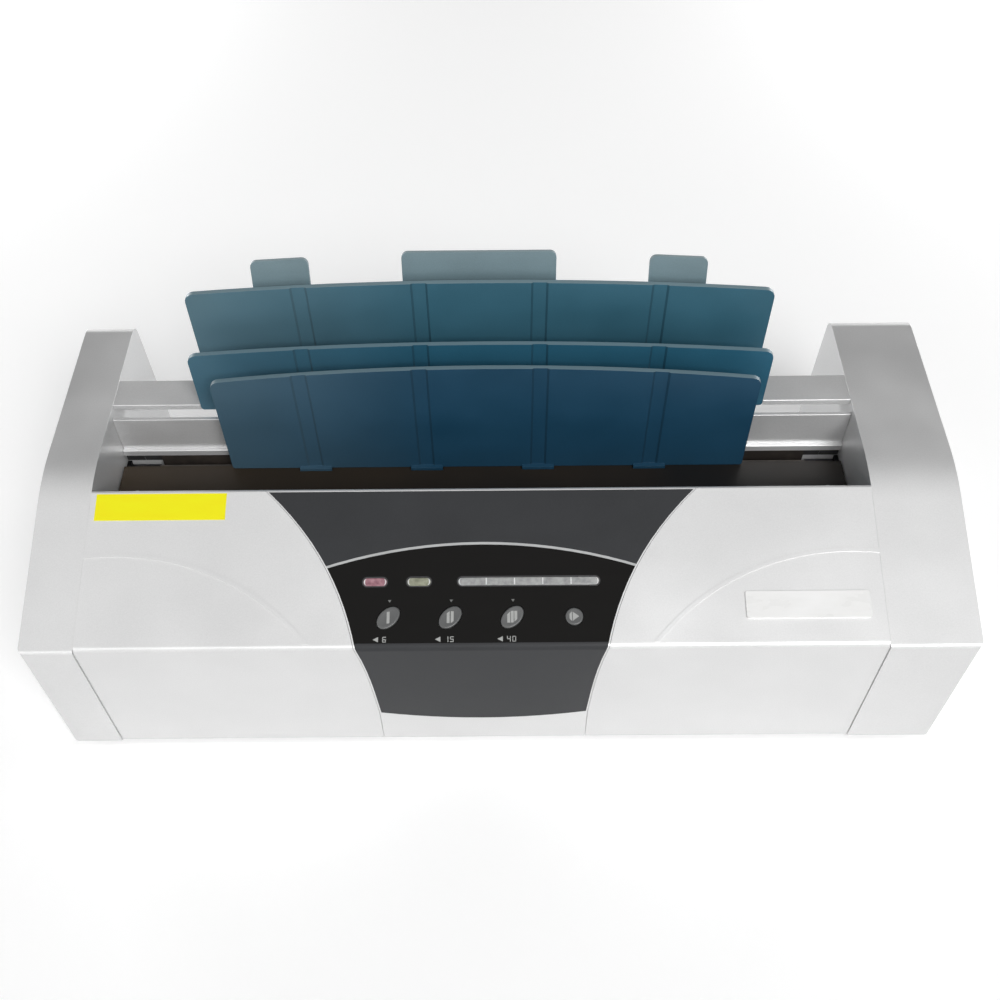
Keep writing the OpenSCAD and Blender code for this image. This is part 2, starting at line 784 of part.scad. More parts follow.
lens_flange = 1;
module lens(i) {
    x = LENSES[i][0];
    w = LENSES[i][1] - 2 * seat_fit;
    h = lens_h - 2 * seat_fit;
    on_slope(-lens_depth, proud_lens) translate([x, lens_s]) pill(w, h);
    on_slope(-cover_under - lens_flange, -cover_under) translate([x, lens_s])
        pill(w + 3 * lens_flange, h + 3 * lens_flange);
}
module power_lens() { color("#8b646b") lens(0); }
module insert_lens() { color("#89897e") lens(1); }
module progress_lens() {
    color("#9f9f9d") difference() {
        lens(2);
        on_slope(0, 1) for (i = [1:segments - 1]) translate([segment_x(i), lens_s])
            square([segment_line, lens_h + 1], center = true);
    }
}

// ---- Buttons and control board ----
flange_t = 1.2;
flange_grow = 0.9;
stem_r = 1.6;
switch_t = 3.5;
stem_in = 0.4;
module button(i) {
    color("#81807c") {
        on_slope(-cover_under - free_gap, button_proud) button_outline(i, 0);
        on_slope(-cover_under - free_gap - flange_t, -cover_under - free_gap) button_outline(i, flange_grow);
        on_slope(-board_depth + switch_t - stem_in, -cover_under - free_gap)
            translate([button_x[i], button_s]) circle(r = stem_r);
    }
}
module button_thin() { button(0); }
module button_medium() { button(1); }
module button_thick() { button(2); }
module button_reset() { button(3); }

module control_board() {
    color(GREEN) on_slope(-board_depth - board_t, -board_depth) difference() {
        translate([-board_x, board_s0]) square([2 * board_x, board_s1 - board_s0]);
        for (p = board_screw_pts()) translate(p) circle(r = board_screw_r + seat_fit);
    }
}

tact_w = 6.2;
module tact_switches() {
    color(BLACK) for (x = button_x) {
        on_slope(-board_depth, -board_depth + switch_t - 2)
            translate([x, button_s]) square(tact_w, center = true);
        on_slope(-board_depth + switch_t - 2, -board_depth + switch_t) translate([x, button_s]) difference() {
            square(tact_w, center = true);
            circle(r = stem_r + free_gap);
        }
    }
}

module indicator_leds() {
    xs = concat([power_x, insert_x], [for (i = [0:segments - 1]) segment_x(i + 0.5)]);
    color("#e6e6e0") on_slope(-board_depth, -lens_depth - led_gap)
        for (x = xs) translate([x, lens_s]) circle(r = led_r);
}

module board_screws() {
    color(STEEL) for (p = board_screw_pts()) {
        on_slope(-board_depth - board_t - 1.2, -board_depth - board_t)
            translate(p) circle(r = 2 * board_screw_r);
        on_slope(-board_depth - board_t, -board_depth + 5) translate(p) circle(r = board_screw_r);
    }
}

sticker_back = 2.6;
module yellow_sticker() {
    x0 = cover_x0 - mid_x + sticker_in;
    color("#fdf829") on_slope(0, sticker_t)
        translate([x0, slope_len - sticker_back - sticker_h]) square([sticker_w, sticker_h]);
}
module name_strip() {
    x1 = cover_x1 - mid_x - strip_in;
    color("#ececea") on_slope(0, strip_t) polygon(rounded(
        [[x1 - strip_w, strip_s], [x1, strip_s], [x1, strip_s + strip_h], [x1 - strip_w, strip_s + strip_h]],
        [1, 1, 1, 1], 4));
}

// ---- Well, crossbar and rack ----
louvre_w = 3;
louvre_h = 22;
louvre_z = 24;
louvre_pitch = 7;
module rear_panel() {
    top = ledge_z + ledge_h;
    color(SILVER) difference() {
        yz(cover_x0, cover_x1) polygon(rounded(
            [[wall_y, foot_h], [panel_back_y, foot_h], [panel_back_y, wall_top_z], [wall_y, wall_top_z],
                [wall_y, top], [pad_y, top], [pad_y, ledge_z], [wall_y, ledge_z]],
            [0, 0, 0.3, 0.3, 0, 0.6, 0, 0]));
        for (side = [-1, 1], i = [-4:4])
            translate([mid_x + side * vent_x + i * louvre_pitch, wall_y - 1, louvre_z]) rotate([-90, 0, 0])
                linear_extrude(rear_wall_t + 2) rotate(90) pill(louvre_h, louvre_w);
    }
}

flange_w = 3;
rack_screw_r = 1;
rack_head_r = 1.6;
rack_head_h = 1;
rack_bite = 5;
rack_screw_z = bar_z + bar_t / 2;
rear_screw_z = bar_z - bar_flange_h / 2;
function flute_x() = [for (i = [-1.5:1:1.5]) mid_x + i * flute_pitch];

module crossbar() {
    y1 = bar_y + bar_d;
    color(SILVER) difference() {
        yz(left_in, right_in) polygon(rounded(
            [[middle_y, bar_z], [y1 - flange_w, bar_z], [y1 - flange_w, bar_z - bar_flange_h],
                [y1, bar_z - bar_flange_h], [y1, bar_top_z], [middle_y, bar_top_z]],
            [0.4, 0, 0, 0, 0.5, 0.4]));
        translate([mid_x, 0, 0])
            box(-middle_fin_w / 2 - seam, middle_fin_w / 2 + seam, middle_y - 1, bar_y, bar_z - 1, top_h);
        for (x = flute_x()) {
            translate([x, bar_y - 1, rack_screw_z]) rotate([-90, 0, 0])
                cylinder(r = rack_screw_r + seat_fit, h = 8);
            translate([x, y1 - flange_w - 1, rear_screw_z]) rotate([-90, 0, 0])
                cylinder(r = rack_screw_r + seat_fit, h = flange_w + 2);
        }
    }
}

arch_steps = 8;

// Outline of a plate with an arched top.
function plate_pts(w, z0, z_corner, arch) = concat([[-w / 2, z0], [w / 2, z0], [w / 2, z_corner]],
    [for (i = [arch_steps - 1:-1:1 - arch_steps]) let(u = i / arch_steps)
        [w / 2 * u, z_corner + arch * (1 - u * u)]],
    [[-w / 2, z_corner]]);
function plate_radii() = concat([1.5, 1.5, fin_corner_r], [for (i = [2:2 * arch_steps]) 0], [fin_corner_r]);

// A teal plate whose front face is at y, with four shallow flutes whose sides slope.
module teal_plate(w, y, z0, z_corner, arch, shift = 0) {
    half = flute_w / 2;
    top = half + 2 * flute_side;
    difference() {
        translate([mid_x + shift, 0, 0]) xz(y, y + fin_t)
            polygon(rounded(plate_pts(w, z0, z_corner, arch), plate_radii(), 5));
        for (x = flute_x()) translate([x, y]) xy(z0 - 1, z_corner + arch + 1)
            polygon([[-top, -flute_t], [top, -flute_t], [half, flute_t], [-half, flute_t]]);
    }
}

module screw_bores(z, y0, y1) {
    for (x = flute_x()) translate([x, y0, z]) rotate([-90, 0, 0])
        cylinder(r = rack_screw_r + seat_fit, h = y1 - y0);
}

module middle_plate() {
    color(TEAL) difference() {
        teal_plate(middle_fin_w, middle_y, bar_z, middle_fin_corner, middle_fin_arch);
        screw_bores(rack_screw_z, middle_y - 1, bar_y + 1);
    }
}

module rear_plate() {
    color(TEAL) difference() {
        teal_plate(rear_fin_w, rear_fin_y, bar_z - bar_flange_h, rear_fin_corner, rear_fin_arch);
        screw_bores(rear_screw_z, rear_fin_y - 1, rear_fin_y + fin_t + 1);
    }
}

back_y0 = rear_fin_y + fin_t;
shoulder_drop = 4;
tab_fall = 1.4;
tab_r = 3;

// A tab's outline: its middle at x, its height h, its left and its right corner lower by a fall.
function tab_pts(x, w, h, left_fall, right_fall) =
    [[x - w / 2, 0], [x + w / 2, 0], [x + w / 2, h - right_fall], [x - w / 2, h - left_fall]];

module tabbed_plate() {
    z0 = bar_z - bar_flange_h;
    z1 = rear_fin_corner - shoulder_drop;
    mid_h = (mid_tab_z - z1) / cos(tab_lean);
    side_h = (side_tab_z - z1) / cos(tab_lean);
    color(TEAL) difference() {
        union() {
            box(mid_x - back_plate_w / 2, mid_x + back_plate_w / 2, back_y0, back_y0 + back_plate_t, z0, z1);
            translate([mid_x, back_y0, z1]) rotate([-tab_lean, 0, 0]) xz(0, back_plate_t)
                for (pts = [tab_pts(-side_tab_x, side_tab_w, side_h, tab_fall, 0),
                    tab_pts(0, mid_tab_w, mid_h, 0, 0), tab_pts(side_tab_x, side_tab_w, side_h, 0, tab_fall)])
                    polygon(rounded(pts, [0, 0, tab_r, tab_r], 5));
        }
        screw_bores(rear_screw_z, back_y0 - 1, back_y0 + back_plate_t + 1);
    }
}

// A screw with its head's seat at y, driven along dir.
module cross_screw(x, y, z, dir, len) {
    translate([x, y, z]) rotate([-90 * dir, 0, 0]) {
        translate([0, 0, -rack_head_h]) cylinder(r = rack_head_r, h = rack_head_h);
        cylinder(r = rack_screw_r, h = len);
    }
}
module rack_screws() {
    color(STEEL) for (x = flute_x()) {
        cross_screw(x, middle_y + flute_t, rack_screw_z, 1, fin_t + rack_bite);
        cross_screw(x, back_y0 + back_plate_t, rear_screw_z, -1, back_plate_t + fin_t + flange_w);
    }
}

// ---- Clamp ----
jaw_front_y = jaw_y - jaw_t;
function tongue_box(grow) = [for (x = flute_x()) [x - tongue_w / 2 - grow, x + tongue_w / 2 + grow]];

module clamp_plate() {
    z0 = deck_z + plate_lift;
    y = jaw_front_y - plate_step;
    color(TEAL) {
        teal_plate(front_fin_w, y, z0, front_fin_corner, front_fin_arch, front_fin_shift);
        for (t = tongue_box(0)) {
            box(t[0], t[1], jaw_front_y - fin_t, jaw_front_y, deck_z - tongue_drop, tongue_top_z);
            box(t[0], t[1], jaw_front_y - fin_t, y + fin_t - flute_t, z0, tongue_top_z);
        }
    }
}

carriage_top = deck_z - jaw_t;
function clamp_screw_pts() = [for (x = [left_carriage_x, right_carriage_x], d = [33, 19])
    [x + carriage_w / 2, jaw_y - d]];
clamp_screw_r = 1.5;
clamp_head_r = 2.6;
clamp_head_h = 1.2;
clamp_bite = 5;

module clamp_deck() {
    color(DARK_STEEL) difference() {
        union() {
            box(left_in + deck_side_gap, right_in - deck_side_gap, jaw_y - deck_d, jaw_y,
                carriage_top, deck_z);
            box(jaw_x0, jaw_x1, jaw_front_y, jaw_y, jaw_z, deck_z);
        }
        for (t = tongue_box(seam))
            box(t[0], t[1], jaw_front_y - fin_t - seam, jaw_front_y, carriage_top - 1, deck_z + 1);
        for (p = clamp_screw_pts()) translate([p.x, p.y, carriage_top - 1])
            cylinder(r = clamp_screw_r + seat_fit, h = jaw_t + 2);
    }
}

module clamp_pad() { color("#26211d") box(jaw_x0, jaw_x1, jaw_y, clamp_y, jaw_z, deck_z); }

function rack_half(z) = rack_pitch / 4 - backlash / 4 + (z - rack_z) * tan(20);
module carriage(x) {
    rack_tip = rack_z - addendum;
    color(STEEL) difference() {
        union() {
            box(x, x + carriage_w, carriage_y0, carriage_y1, rack_root_z, carriage_top);
            yz(x, x + carriage_w) for (k = [rack_first:rack_last])
                translate([shaft_y + k * rack_pitch, 0])
                    polygon([[-rack_half(rack_tip), rack_tip], [rack_half(rack_tip), rack_tip],
                        [rack_half(rack_root_z), rack_root_z + EPS],
                        [-rack_half(rack_root_z), rack_root_z + EPS]]);
        }
        translate([x + carriage_w / 2, carriage_y0 - 1, rod_z]) rotate([-90, 0, 0])
            cylinder(r = rod_r + run_fit, h = carriage_y1 - carriage_y0 + 2);
        for (p = clamp_screw_pts()) translate([p.x, p.y, carriage_top - 6])
            cylinder(r = clamp_screw_r + seat_fit, h = 7);
    }
}
module left_carriage() { carriage(left_carriage_x); }
module right_carriage() { carriage(right_carriage_x); }

module clamp_screws() {
    color(STEEL) for (p = clamp_screw_pts()) translate([p.x, p.y, deck_z]) {
        cylinder(r = clamp_head_r, h = clamp_head_h);
        translate([0, 0, -jaw_t - clamp_bite]) cylinder(r = clamp_screw_r, h = jaw_t + clamp_bite);
    }
}

module fixed_jaw() { color(DARK_STEEL) box(jaw_x0, jaw_x1, pad_y + pad_t, wall_y, jaw_z, ledge_z); }
module fixed_pad() { color("#26211d") box(jaw_x0, jaw_x1, pad_y, pad_y + pad_t, jaw_z, ledge_z); }

tab_reach = carriage_side + carriage_w;
tab_half = 7;

// Sheet-steel side frame against a housing: side is -1 on the left.
module side_frame(x, side) {
    dir = -side;
    rod_x = x + dir * (carriage_side + carriage_w / 2);
    color(STEEL) difference() {
        union() {
            from_x(x, dir * frame_t, frame_y0, frame_y1, base_top, frame_top_z);
            for (y = [frame_y0, frame_y1 - tab_t])
                from_x(x, dir * tab_reach, y, y + tab_t, rod_z - tab_half, rod_z + tab_half);
            from_x(x, dir * (frame_t + frame_foot_w), frame_y0, frame_y1, base_top, base_top + frame_t);
        }
        translate([rod_x, frame_y0 - 1, rod_z]) rotate([-90, 0, 0])
            cylinder(r = rod_r + seat_fit, h = frame_y1 - frame_y0 + 2);
        translate([x - 10, shaft_y, shaft_z]) rotate([0, 90, 0]) cylinder(r = bush_r + seat_fit, h = 20);
        for (p = frame_screw_pts()) translate([p.x, p.y, base_top - 1])
            cylinder(r = pilot_r + seat_fit, h = frame_t + 2);
    }
}
module left_side_frame() { side_frame(left_in, -1); }
module right_side_frame() { side_frame(right_in, 1); }

module guide_rods() {
    color("#c8ccd0") for (x = [left_carriage_x, right_carriage_x])
        translate([x + carriage_w / 2, frame_y0, rod_z]) rotate([-90, 0, 0])
            cylinder(r = rod_r, h = frame_y1 - frame_y0);
}

// ---- Drive ----
pressure = 20;
function inv(a) = tan(a) * 180 / PI - a;
flank_steps = 4;

// Outline of a spur gear with one tooth centred at the angle first.
function gear_pts(teeth, first) =
    let(rp = gear_m * teeth / 2, rb = rp * cos(pressure), ra = rp + addendum, rf = rp - dedendum,
        r0 = max(rb, rf), half = 90 / teeth - backlash / 4 / rp * 180 / PI + inv(pressure),
        flank = [for (i = [0:flank_steps]) let(r = r0 + (ra - r0) * i / flank_steps)
            [r, half - inv(acos(min(1, rb / r)))]],
        side = concat(rf < r0 ? [[rf, flank[0][1]]] : [], flank))
    [for (k = [0:teeth - 1]) let(a = first + 360 * k / teeth)
        each concat([for (p = side) p[0] * [cos(a - p[1]), sin(a - p[1])]],
            [for (i = [len(side) - 1:-1:0]) side[i][0] * [cos(a + side[i][1]), sin(a + side[i][1])]])];

module along_x(x, y, z, r, len) { translate([x, y, z]) rotate([0, 90, 0]) cylinder(r = r, h = len); }

module gear(x, y, z, teeth, first, bore_r) {
    difference() {
        yz(x, x + gear_face) translate([y, z]) polygon(gear_pts(teeth, first));
        along_x(x - 1, y, z, bore_r, gear_face + 2);
    }
}

pinion_in = (carriage_w - gear_face) / 2;
module rack_pinions() {
    color(STEEL) for (x = [left_carriage_x, right_carriage_x])
        gear(x + pinion_in, shaft_y, shaft_z, pinion_teeth, 90 + 180 / pinion_teeth, shaft_r + seat_fit);
}

module drive_gear() {
    color("#d9d5c8") gear(gear_x, shaft_y, shaft_z, gear_teeth, 0, shaft_r + seat_fit);
}

module drive_shaft() {
    x0 = left_in + seam;
    color("#c8ccd0") along_x(x0, shaft_y, shaft_z, shaft_r, motor_x + 1 - x0);
}

module shaft_bushes() {
    color("#b08d57") for (x = [left_in, right_in - bush_w]) difference() {
        along_x(x, shaft_y, shaft_z, bush_r, bush_w);
        along_x(x - 1, shaft_y, shaft_z, shaft_r + run_fit, bush_w + 2);
    }
}

motor_bore = 8;
module gear_motor() {
    color("#b9bcc0") difference() {
        union() {
            along_x(motor_x, motor_y, motor_z, motor_r, motor_t);
            along_x(bracket_x - 1, mesh_y, shaft_z, motor_boss_r, bracket_t + 2);
        }
        along_x(bracket_x - 2, mesh_y, shaft_z, motor_shaft_r + run_fit, motor_bore + bracket_t + 2);
        for (p = motor_screw_pts()) along_x(motor_x - 1, p.x, p.y, pilot_r + seat_fit, 7);
    }
}

module motor_pinion() {
    color("#c9c4b4") {
        gear(gear_x, mesh_y, shaft_z, pinion_teeth, 180 + 180 / pinion_teeth, motor_shaft_r - seat_fit);
        along_x(gear_x - 1, mesh_y, shaft_z, motor_shaft_r, motor_x + motor_bore - 1 - gear_x);
    }
}

function motor_screw_pts() = [[motor_y + 0.7 * motor_r, motor_z], [motor_y, motor_z + 0.7 * motor_r]];
bracket_foot = 8;
module motor_bracket() {
    y0 = shaft_y - shaft_r - 4;
    y1 = motor_y + motor_r;
    color(STEEL) difference() {
        union() {
            box(bracket_x, motor_x, y0, y1, base_top, motor_z + 0.7 * motor_r + 6);
            box(bracket_x - bracket_foot, motor_x, y0, y1, base_top, base_top + bracket_t);
        }
        along_x(bracket_x - 1, shaft_y, shaft_z, shaft_r + run_fit, bracket_t + 2);
        along_x(bracket_x - 1, mesh_y, shaft_z, motor_boss_r + seat_fit, bracket_t + 2);
        for (p = motor_screw_pts()) along_x(bracket_x - 1, p.x, p.y, pilot_r + seat_fit, bracket_t + 2);
    }
}

// ---- Heater ----
heater_y0 = well_y + 2;
heater_y1 = wall_y - seam;
element_in = 5;
sensor_x = [-60, 60];
sensor_w = 14;
sensor_d = 8;
leg_r = 4;
leg_in = 8;

module heater_plate() {
    color("#b7babd") box(jaw_x0, jaw_x1, heater_y0, heater_y1, heater_z, heater_z + heater_t);
}

// The element's outline, grown by grow on every side.
module element_box(grow, z0, z1) {
    d = element_in - grow;
    box(jaw_x0 + d, jaw_x1 - d, heater_y0 + d, heater_y1 - d, z0, z1);
}
module heating_element() { color("#8a6a3a") element_box(0, element_z, heater_z); }
module heater_tray() {
    color("#4a3b2c") {
        difference() {
            box(jaw_x0, jaw_x1, heater_y0, heater_y1, tray_z, heater_z);
            element_box(seam, element_z, heater_z + 1);
            for (x = sensor_x) translate([mid_x + x, (heater_y0 + heater_y1) / 2, element_z])
                cube([sensor_w, sensor_d, 3 * tray_t], center = true);
        }
        for (x = [jaw_x0 + leg_in, jaw_x1 - leg_in], y = [heater_y0 + leg_in, heater_y1 - leg_in])
            translate([x, y, base_top]) cylinder(r = leg_r, h = tray_z - base_top);
    }
}
module thermal_sensors() {
    for (x = sensor_x) color(x < 0 ? "#d8d2c0" : "#7d8288")
        translate([mid_x + x, (heater_y0 + heater_y1) / 2, element_z - tray_t / 2 - 1])
            cube([sensor_w - 1, sensor_d - 1, tray_t + 2], center = true);
}

// ---- Mains parts ----
power_z = base_top + board_lift;
module power_board() {
    color(GREEN) box(power_x0, power_x1, power_y0, power_y1, power_z, power_z + board_t);
}

// A part on the power board: its distances from the board's left and front edges, and its size.
module on_board(x, y, size) { translate([power_x0 + x, power_y0 + y, power_z + board_t]) cube(size); }

core_leg = 6;
coil_in = 4;
module mains_transformer() {
    x = 2 * post_in - 2;
    y = (power_d - core_d) / 2;
    limb = core_w / 2 - 1;
    color("#5b5f64") on_board(x, y, [core_w, core_d, core_leg]);
    color("#c58b3a") on_board(x + coil_in, y + coil_in - 1, [core_w - 2 * coil_in, core_d - 2 * coil_in + 2,
        core_h - core_leg]);
    color("#5b5f64") on_board(x + (core_w - limb) / 2, y, [limb, core_d, core_h]);
}

terminal_w = 24;
terminal_d = 8;
terminal_h = 9;
socket_w = 20;
socket_d = 6;
socket_h = 7;
module board_components() {
    mid = power_w / 2;
    color("#2b4fa0") on_board(power_w - relay_w - 13, power_d - relay_d - 2, [relay_w, relay_d, relay_h]);
    color("#e8e4d8") on_board(power_w - terminal_w - 12, post_in, [terminal_w, terminal_d, terminal_h]);
    color("#202225")
        translate([mid_x - capacitor_r - 1, power_y0 + 2 * capacitor_r + 2, power_z + board_t])
            cylinder(r = capacitor_r, h = capacitor_h);
    color("#d8d8d8") on_board(mid + ribbon_x - socket_w / 2, ribbon_y + (ribbon_t - socket_d) / 2 - power_y0,
        [socket_w, socket_d, socket_h]);
}

ribbon_x = 20;
ribbon_w = 14;
ribbon_t = 1;
ribbon_s = 25;
plug_h = 5;
ribbon_y = cover_y + ribbon_s * cos(slope_deg) + (board_depth + board_t) * sin(slope_deg);
module ribbon_cable() {
    d = board_depth + board_t;
    z0 = power_z + board_t + socket_h;
    z1 = cover_fold_z + ribbon_s * sin(slope_deg) - (d + plug_h / 2) * cos(slope_deg);
    color("#b8b4ac") {
        on_slope(-d - plug_h, -d)
            translate([ribbon_x, ribbon_s]) square([ribbon_w + 4, plug_h], center = true);
        translate([mid_x, 0, 0])
            box(ribbon_x - ribbon_w / 2, ribbon_x + ribbon_w / 2, ribbon_y, ribbon_y + ribbon_t, z0, z1);
    }
}

// A block centred on X and Z that runs from y0 to y1.
module centred_block(w, h, y0, y1) { box(-w / 2, w / 2, y0, y1, -h / 2, h / 2); }

inlet_flange = 1.5;
inlet_wall = 1.4;
inlet_depth = 22;
socket_depth = 16;
blade_l = 8;
module power_inlet() {
    color("#1a1a1c") on_rear(inlet_z) {
        difference() {
            union() {
                centred_block(inlet_w + 4, inlet_h + 5, 0, inlet_flange);
                centred_block(inlet_w, inlet_h, inlet_flange - inlet_depth, inlet_flange);
            }
            translate([0, inlet_flange + 1, 0]) rotate([90, 0, 0]) linear_extrude(socket_depth + 1)
                polygon(socket_pts());
        }
        for (p = [[-7, -2], [7, -2], [0, 2]])
            translate([p.x - 1, inlet_flange - socket_depth - EPS, p.y - 2]) cube([2, blade_l, 4]);
    }
}

// Opening of the inlet: a rectangle with its two lower corners cut.
function socket_pts() = let(w = inlet_w / 2 - inlet_wall, h = inlet_h / 2 - inlet_wall)
    [[-w + 3, -h], [w - 3, -h], [w, -h + 3], [w, h], [-w, h], [-w, -h + 3]];

pivot_y = -1;
pivot_r = 1.2;
rocker_half = 8.2;
rocker_w = 10;
rocker_tilt = 8;
rocker_gap = 0.4;
stub_l = 1;
module switch_frame() {
    color("#1a1a1c") on_rear(switch_z) difference() {
        union() {
            centred_block(switch_w + 2, switch_h + 2, 0, 1.2);
            centred_block(switch_w, switch_h, -12, 1);
        }
        centred_block(rocker_w + 2 * rocker_gap, 2 * (rocker_half + 2 * rocker_gap), -7, 3);
        along_x(-rocker_w / 2 - stub_l - 0.1, pivot_y, 0, pivot_r + run_fit, rocker_w + 2 * stub_l + 0.2);
    }
}
module switch_rocker() {
    color("#b3262b") on_rear(switch_z) translate([0, pivot_y, 0]) rotate([-rocker_tilt, 0, 0]) {
        yz(-rocker_w / 2, rocker_w / 2) polygon([[-3, -rocker_half + 0.4], [2.6, -rocker_half], [1.6, 0],
            [2.6, rocker_half], [-3, rocker_half - 0.4]]);
        along_x(-rocker_w / 2 - stub_l, 0, 0, pivot_r, rocker_w + 2 * stub_l);
    }
}

module housing_screws() {
    head_z = foot_h + screw_head_h;
    color(STEEL) {
        for (p = concat(housing_screw_pts(), frame_screw_pts())) translate([p.x, p.y, head_z]) {
            translate([0, 0, -screw_head_h + 0.2]) cylinder(r = screw_head_r, h = screw_head_h - 0.2);
            cylinder(r = pilot_r, h = 7);
        }
        for (p = motor_screw_pts()) {
            along_x(bracket_x - 1.5, p.x, p.y, screw_head_r, 1.5);
            along_x(bracket_x - 1, p.x, p.y, pilot_r, bracket_t + 6);
        }
    }
}

base_plate();
rubber_feet();
left_end_housing();
right_end_housing();
left_wing_cover();
right_wing_cover();
centre_cover();
panel_fascia();
display_window();
panel_trim();
lens_bezels();
power_lens();
insert_lens();
progress_lens();
button_thin();
button_medium();
button_thick();
button_reset();
control_board();
tact_switches();
indicator_leds();
board_screws();
yellow_sticker();
name_strip();
rear_panel();
crossbar();
middle_plate();
rear_plate();
tabbed_plate();
rack_screws();
clamp_plate();
clamp_deck();
clamp_pad();
left_carriage();
right_carriage();
clamp_screws();
fixed_jaw();
fixed_pad();
left_side_frame();
right_side_frame();
guide_rods();
drive_shaft();
rack_pinions();
drive_gear();
shaft_bushes();
gear_motor();
motor_pinion();
motor_bracket();
heater_plate();
heating_element();
heater_tray();
thermal_sensors();
power_board();
mains_transformer();
board_components();
ribbon_cable();
power_inlet();
switch_frame();
switch_rocker();
housing_screws();
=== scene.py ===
# %% [markdown]
# # A thermal binding machine, dressed in Blender
# The machine glues the spine of a document in a hot slot, then lets it cool in a rack.
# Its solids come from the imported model: every piece here sits on them, in metres,
# with +X to the right, +Y to the back and +Z up.

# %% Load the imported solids
import json
import math

import bmesh
import bpy
from mathutils import Matrix, Vector

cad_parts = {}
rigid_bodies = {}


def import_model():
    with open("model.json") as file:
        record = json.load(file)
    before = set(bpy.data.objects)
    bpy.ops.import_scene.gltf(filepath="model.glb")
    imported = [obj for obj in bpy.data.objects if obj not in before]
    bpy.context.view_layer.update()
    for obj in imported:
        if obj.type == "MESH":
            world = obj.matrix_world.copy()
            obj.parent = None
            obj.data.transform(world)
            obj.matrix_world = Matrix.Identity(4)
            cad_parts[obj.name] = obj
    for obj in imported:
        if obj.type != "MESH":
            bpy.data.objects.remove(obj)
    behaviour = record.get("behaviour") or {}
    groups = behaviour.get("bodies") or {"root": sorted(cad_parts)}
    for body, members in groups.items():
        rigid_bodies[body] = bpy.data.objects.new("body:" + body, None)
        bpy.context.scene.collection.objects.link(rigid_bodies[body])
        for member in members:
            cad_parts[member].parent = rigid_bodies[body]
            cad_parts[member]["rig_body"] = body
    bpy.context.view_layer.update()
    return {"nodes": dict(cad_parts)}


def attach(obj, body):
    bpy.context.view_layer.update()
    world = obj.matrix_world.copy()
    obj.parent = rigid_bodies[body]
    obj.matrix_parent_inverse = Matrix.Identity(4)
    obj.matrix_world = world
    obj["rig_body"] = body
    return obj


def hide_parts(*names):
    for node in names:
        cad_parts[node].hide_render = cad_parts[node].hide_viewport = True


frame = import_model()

SOLIDS = frame["nodes"]
MM = 0.001

# %% [markdown]
# ## Colour and nodes
# Paint charts and screens give colours as sRGB hex, but a shader adds up light, which needs
# linear values, so one function turns hex to linear. Another adds a shader node with its
# settings and links, so that a finish reads as a list of what it is made of.

# %% One function for colours and one for nodes
def hex_colour(text, gain=1.0):
    """Linear RGBA of an sRGB colour such as "#c9cacb", made lighter or darker by gain."""
    channels = [int(text[i:i + 2], 16) / 255 for i in (1, 3, 5)]
    linear = [c / 12.92 if c <= 0.04045 else ((c + 0.055) / 1.055) ** 2.4 for c in channels]
    return (*[min(1, gain * c) for c in linear], 1)


def in_use(sockets, key=None):
    """A socket by number or name. A node can keep several of one name, with one of them in use."""
    if isinstance(key, int):
        return sockets[key]
    return next(s for s in sockets if not s.is_unavailable and key in (None, s.name))


def join(tree, node, links):
    """Links inputs to sockets, or to nodes, which stand for their first output."""
    for key, source in links.items():
        start = in_use(source.outputs) if isinstance(source, bpy.types.Node) else source
        tree.links.new(start, in_use(node.inputs, key))


def add_node(tree, kind, values=None, links=None, **settings):
    """Adds a node: settings are its options, values its socket numbers, links its inputs."""
    node = tree.nodes.new("ShaderNode" + kind)
    for name, value in settings.items():
        setattr(node, name, value)
    for key, value in (values or {}).items():
        in_use(node.inputs, key).default_value = value
    join(tree, node, links or {})
    return node


def new_finish(name, colour, roughness, ior=1.5, metallic=0.0):
    """A material with one shader. Returns it, its tree, its shader and the place on the piece."""
    finish = bpy.data.materials.new(name)
    finish.use_nodes = True
    tree = finish.node_tree
    shader = tree.nodes["Principled BSDF"]
    for key, value in {"Base Color": hex_colour(colour), "Roughness": roughness, "IOR": ior,
                       "Metallic": metallic}.items():
        shader.inputs[key].default_value = value
    return finish, tree, shader, add_node(tree, "TexCoord").outputs["Object"]


def per_mm(size):
    """Scale of a pattern whose grains are size millimetres wide."""
    return 1 / (size * MM)


# Noise seldom leaves the middle of its range, so this setting of Map Range widens it.
WIDEN = {"From Min": 0.3, "From Max": 0.7}

# %% [markdown]
# ## The camera
# The machine is seen from in front and well above, with its width across the frame. The lens and
# the place are those of a hand-held camera a little over half a metre away.

# %% Place the camera
CAMERA_PLACE = Vector((1.42, -357.14, 533.82)) * MM
CAMERA_DOWN, CAMERA_YAW, CAMERA_ROLL = math.radians(52.07), math.radians(-0.17), math.radians(-0.59)
FOCAL_PIXELS, IMAGE_PIXELS, SENSOR = 1153.5, 1000, 36

camera = bpy.data.objects.new("camera", bpy.data.cameras.new("camera"))
bpy.context.scene.collection.objects.link(camera)
bpy.context.scene.camera = camera
ahead = Vector((math.sin(CAMERA_YAW) * math.cos(CAMERA_DOWN),
                math.cos(CAMERA_YAW) * math.cos(CAMERA_DOWN), -math.sin(CAMERA_DOWN)))
level = Vector((math.cos(CAMERA_YAW), -math.sin(CAMERA_YAW), 0))
above = level.cross(ahead)
right = level * math.cos(CAMERA_ROLL) + above * math.sin(CAMERA_ROLL)
upward = above * math.cos(CAMERA_ROLL) - level * math.sin(CAMERA_ROLL)
camera.matrix_world = Matrix.Translation(CAMERA_PLACE) @ Matrix(
    (right, upward, -ahead)).transposed().to_4x4()
camera.data.sensor_width = SENSOR
camera.data.lens = FOCAL_PIXELS / IMAGE_PIXELS * SENSOR
camera.data.clip_start, camera.data.clip_end = 0.01, 20
print("camera lens:", round(camera.data.lens, 2), "mm")

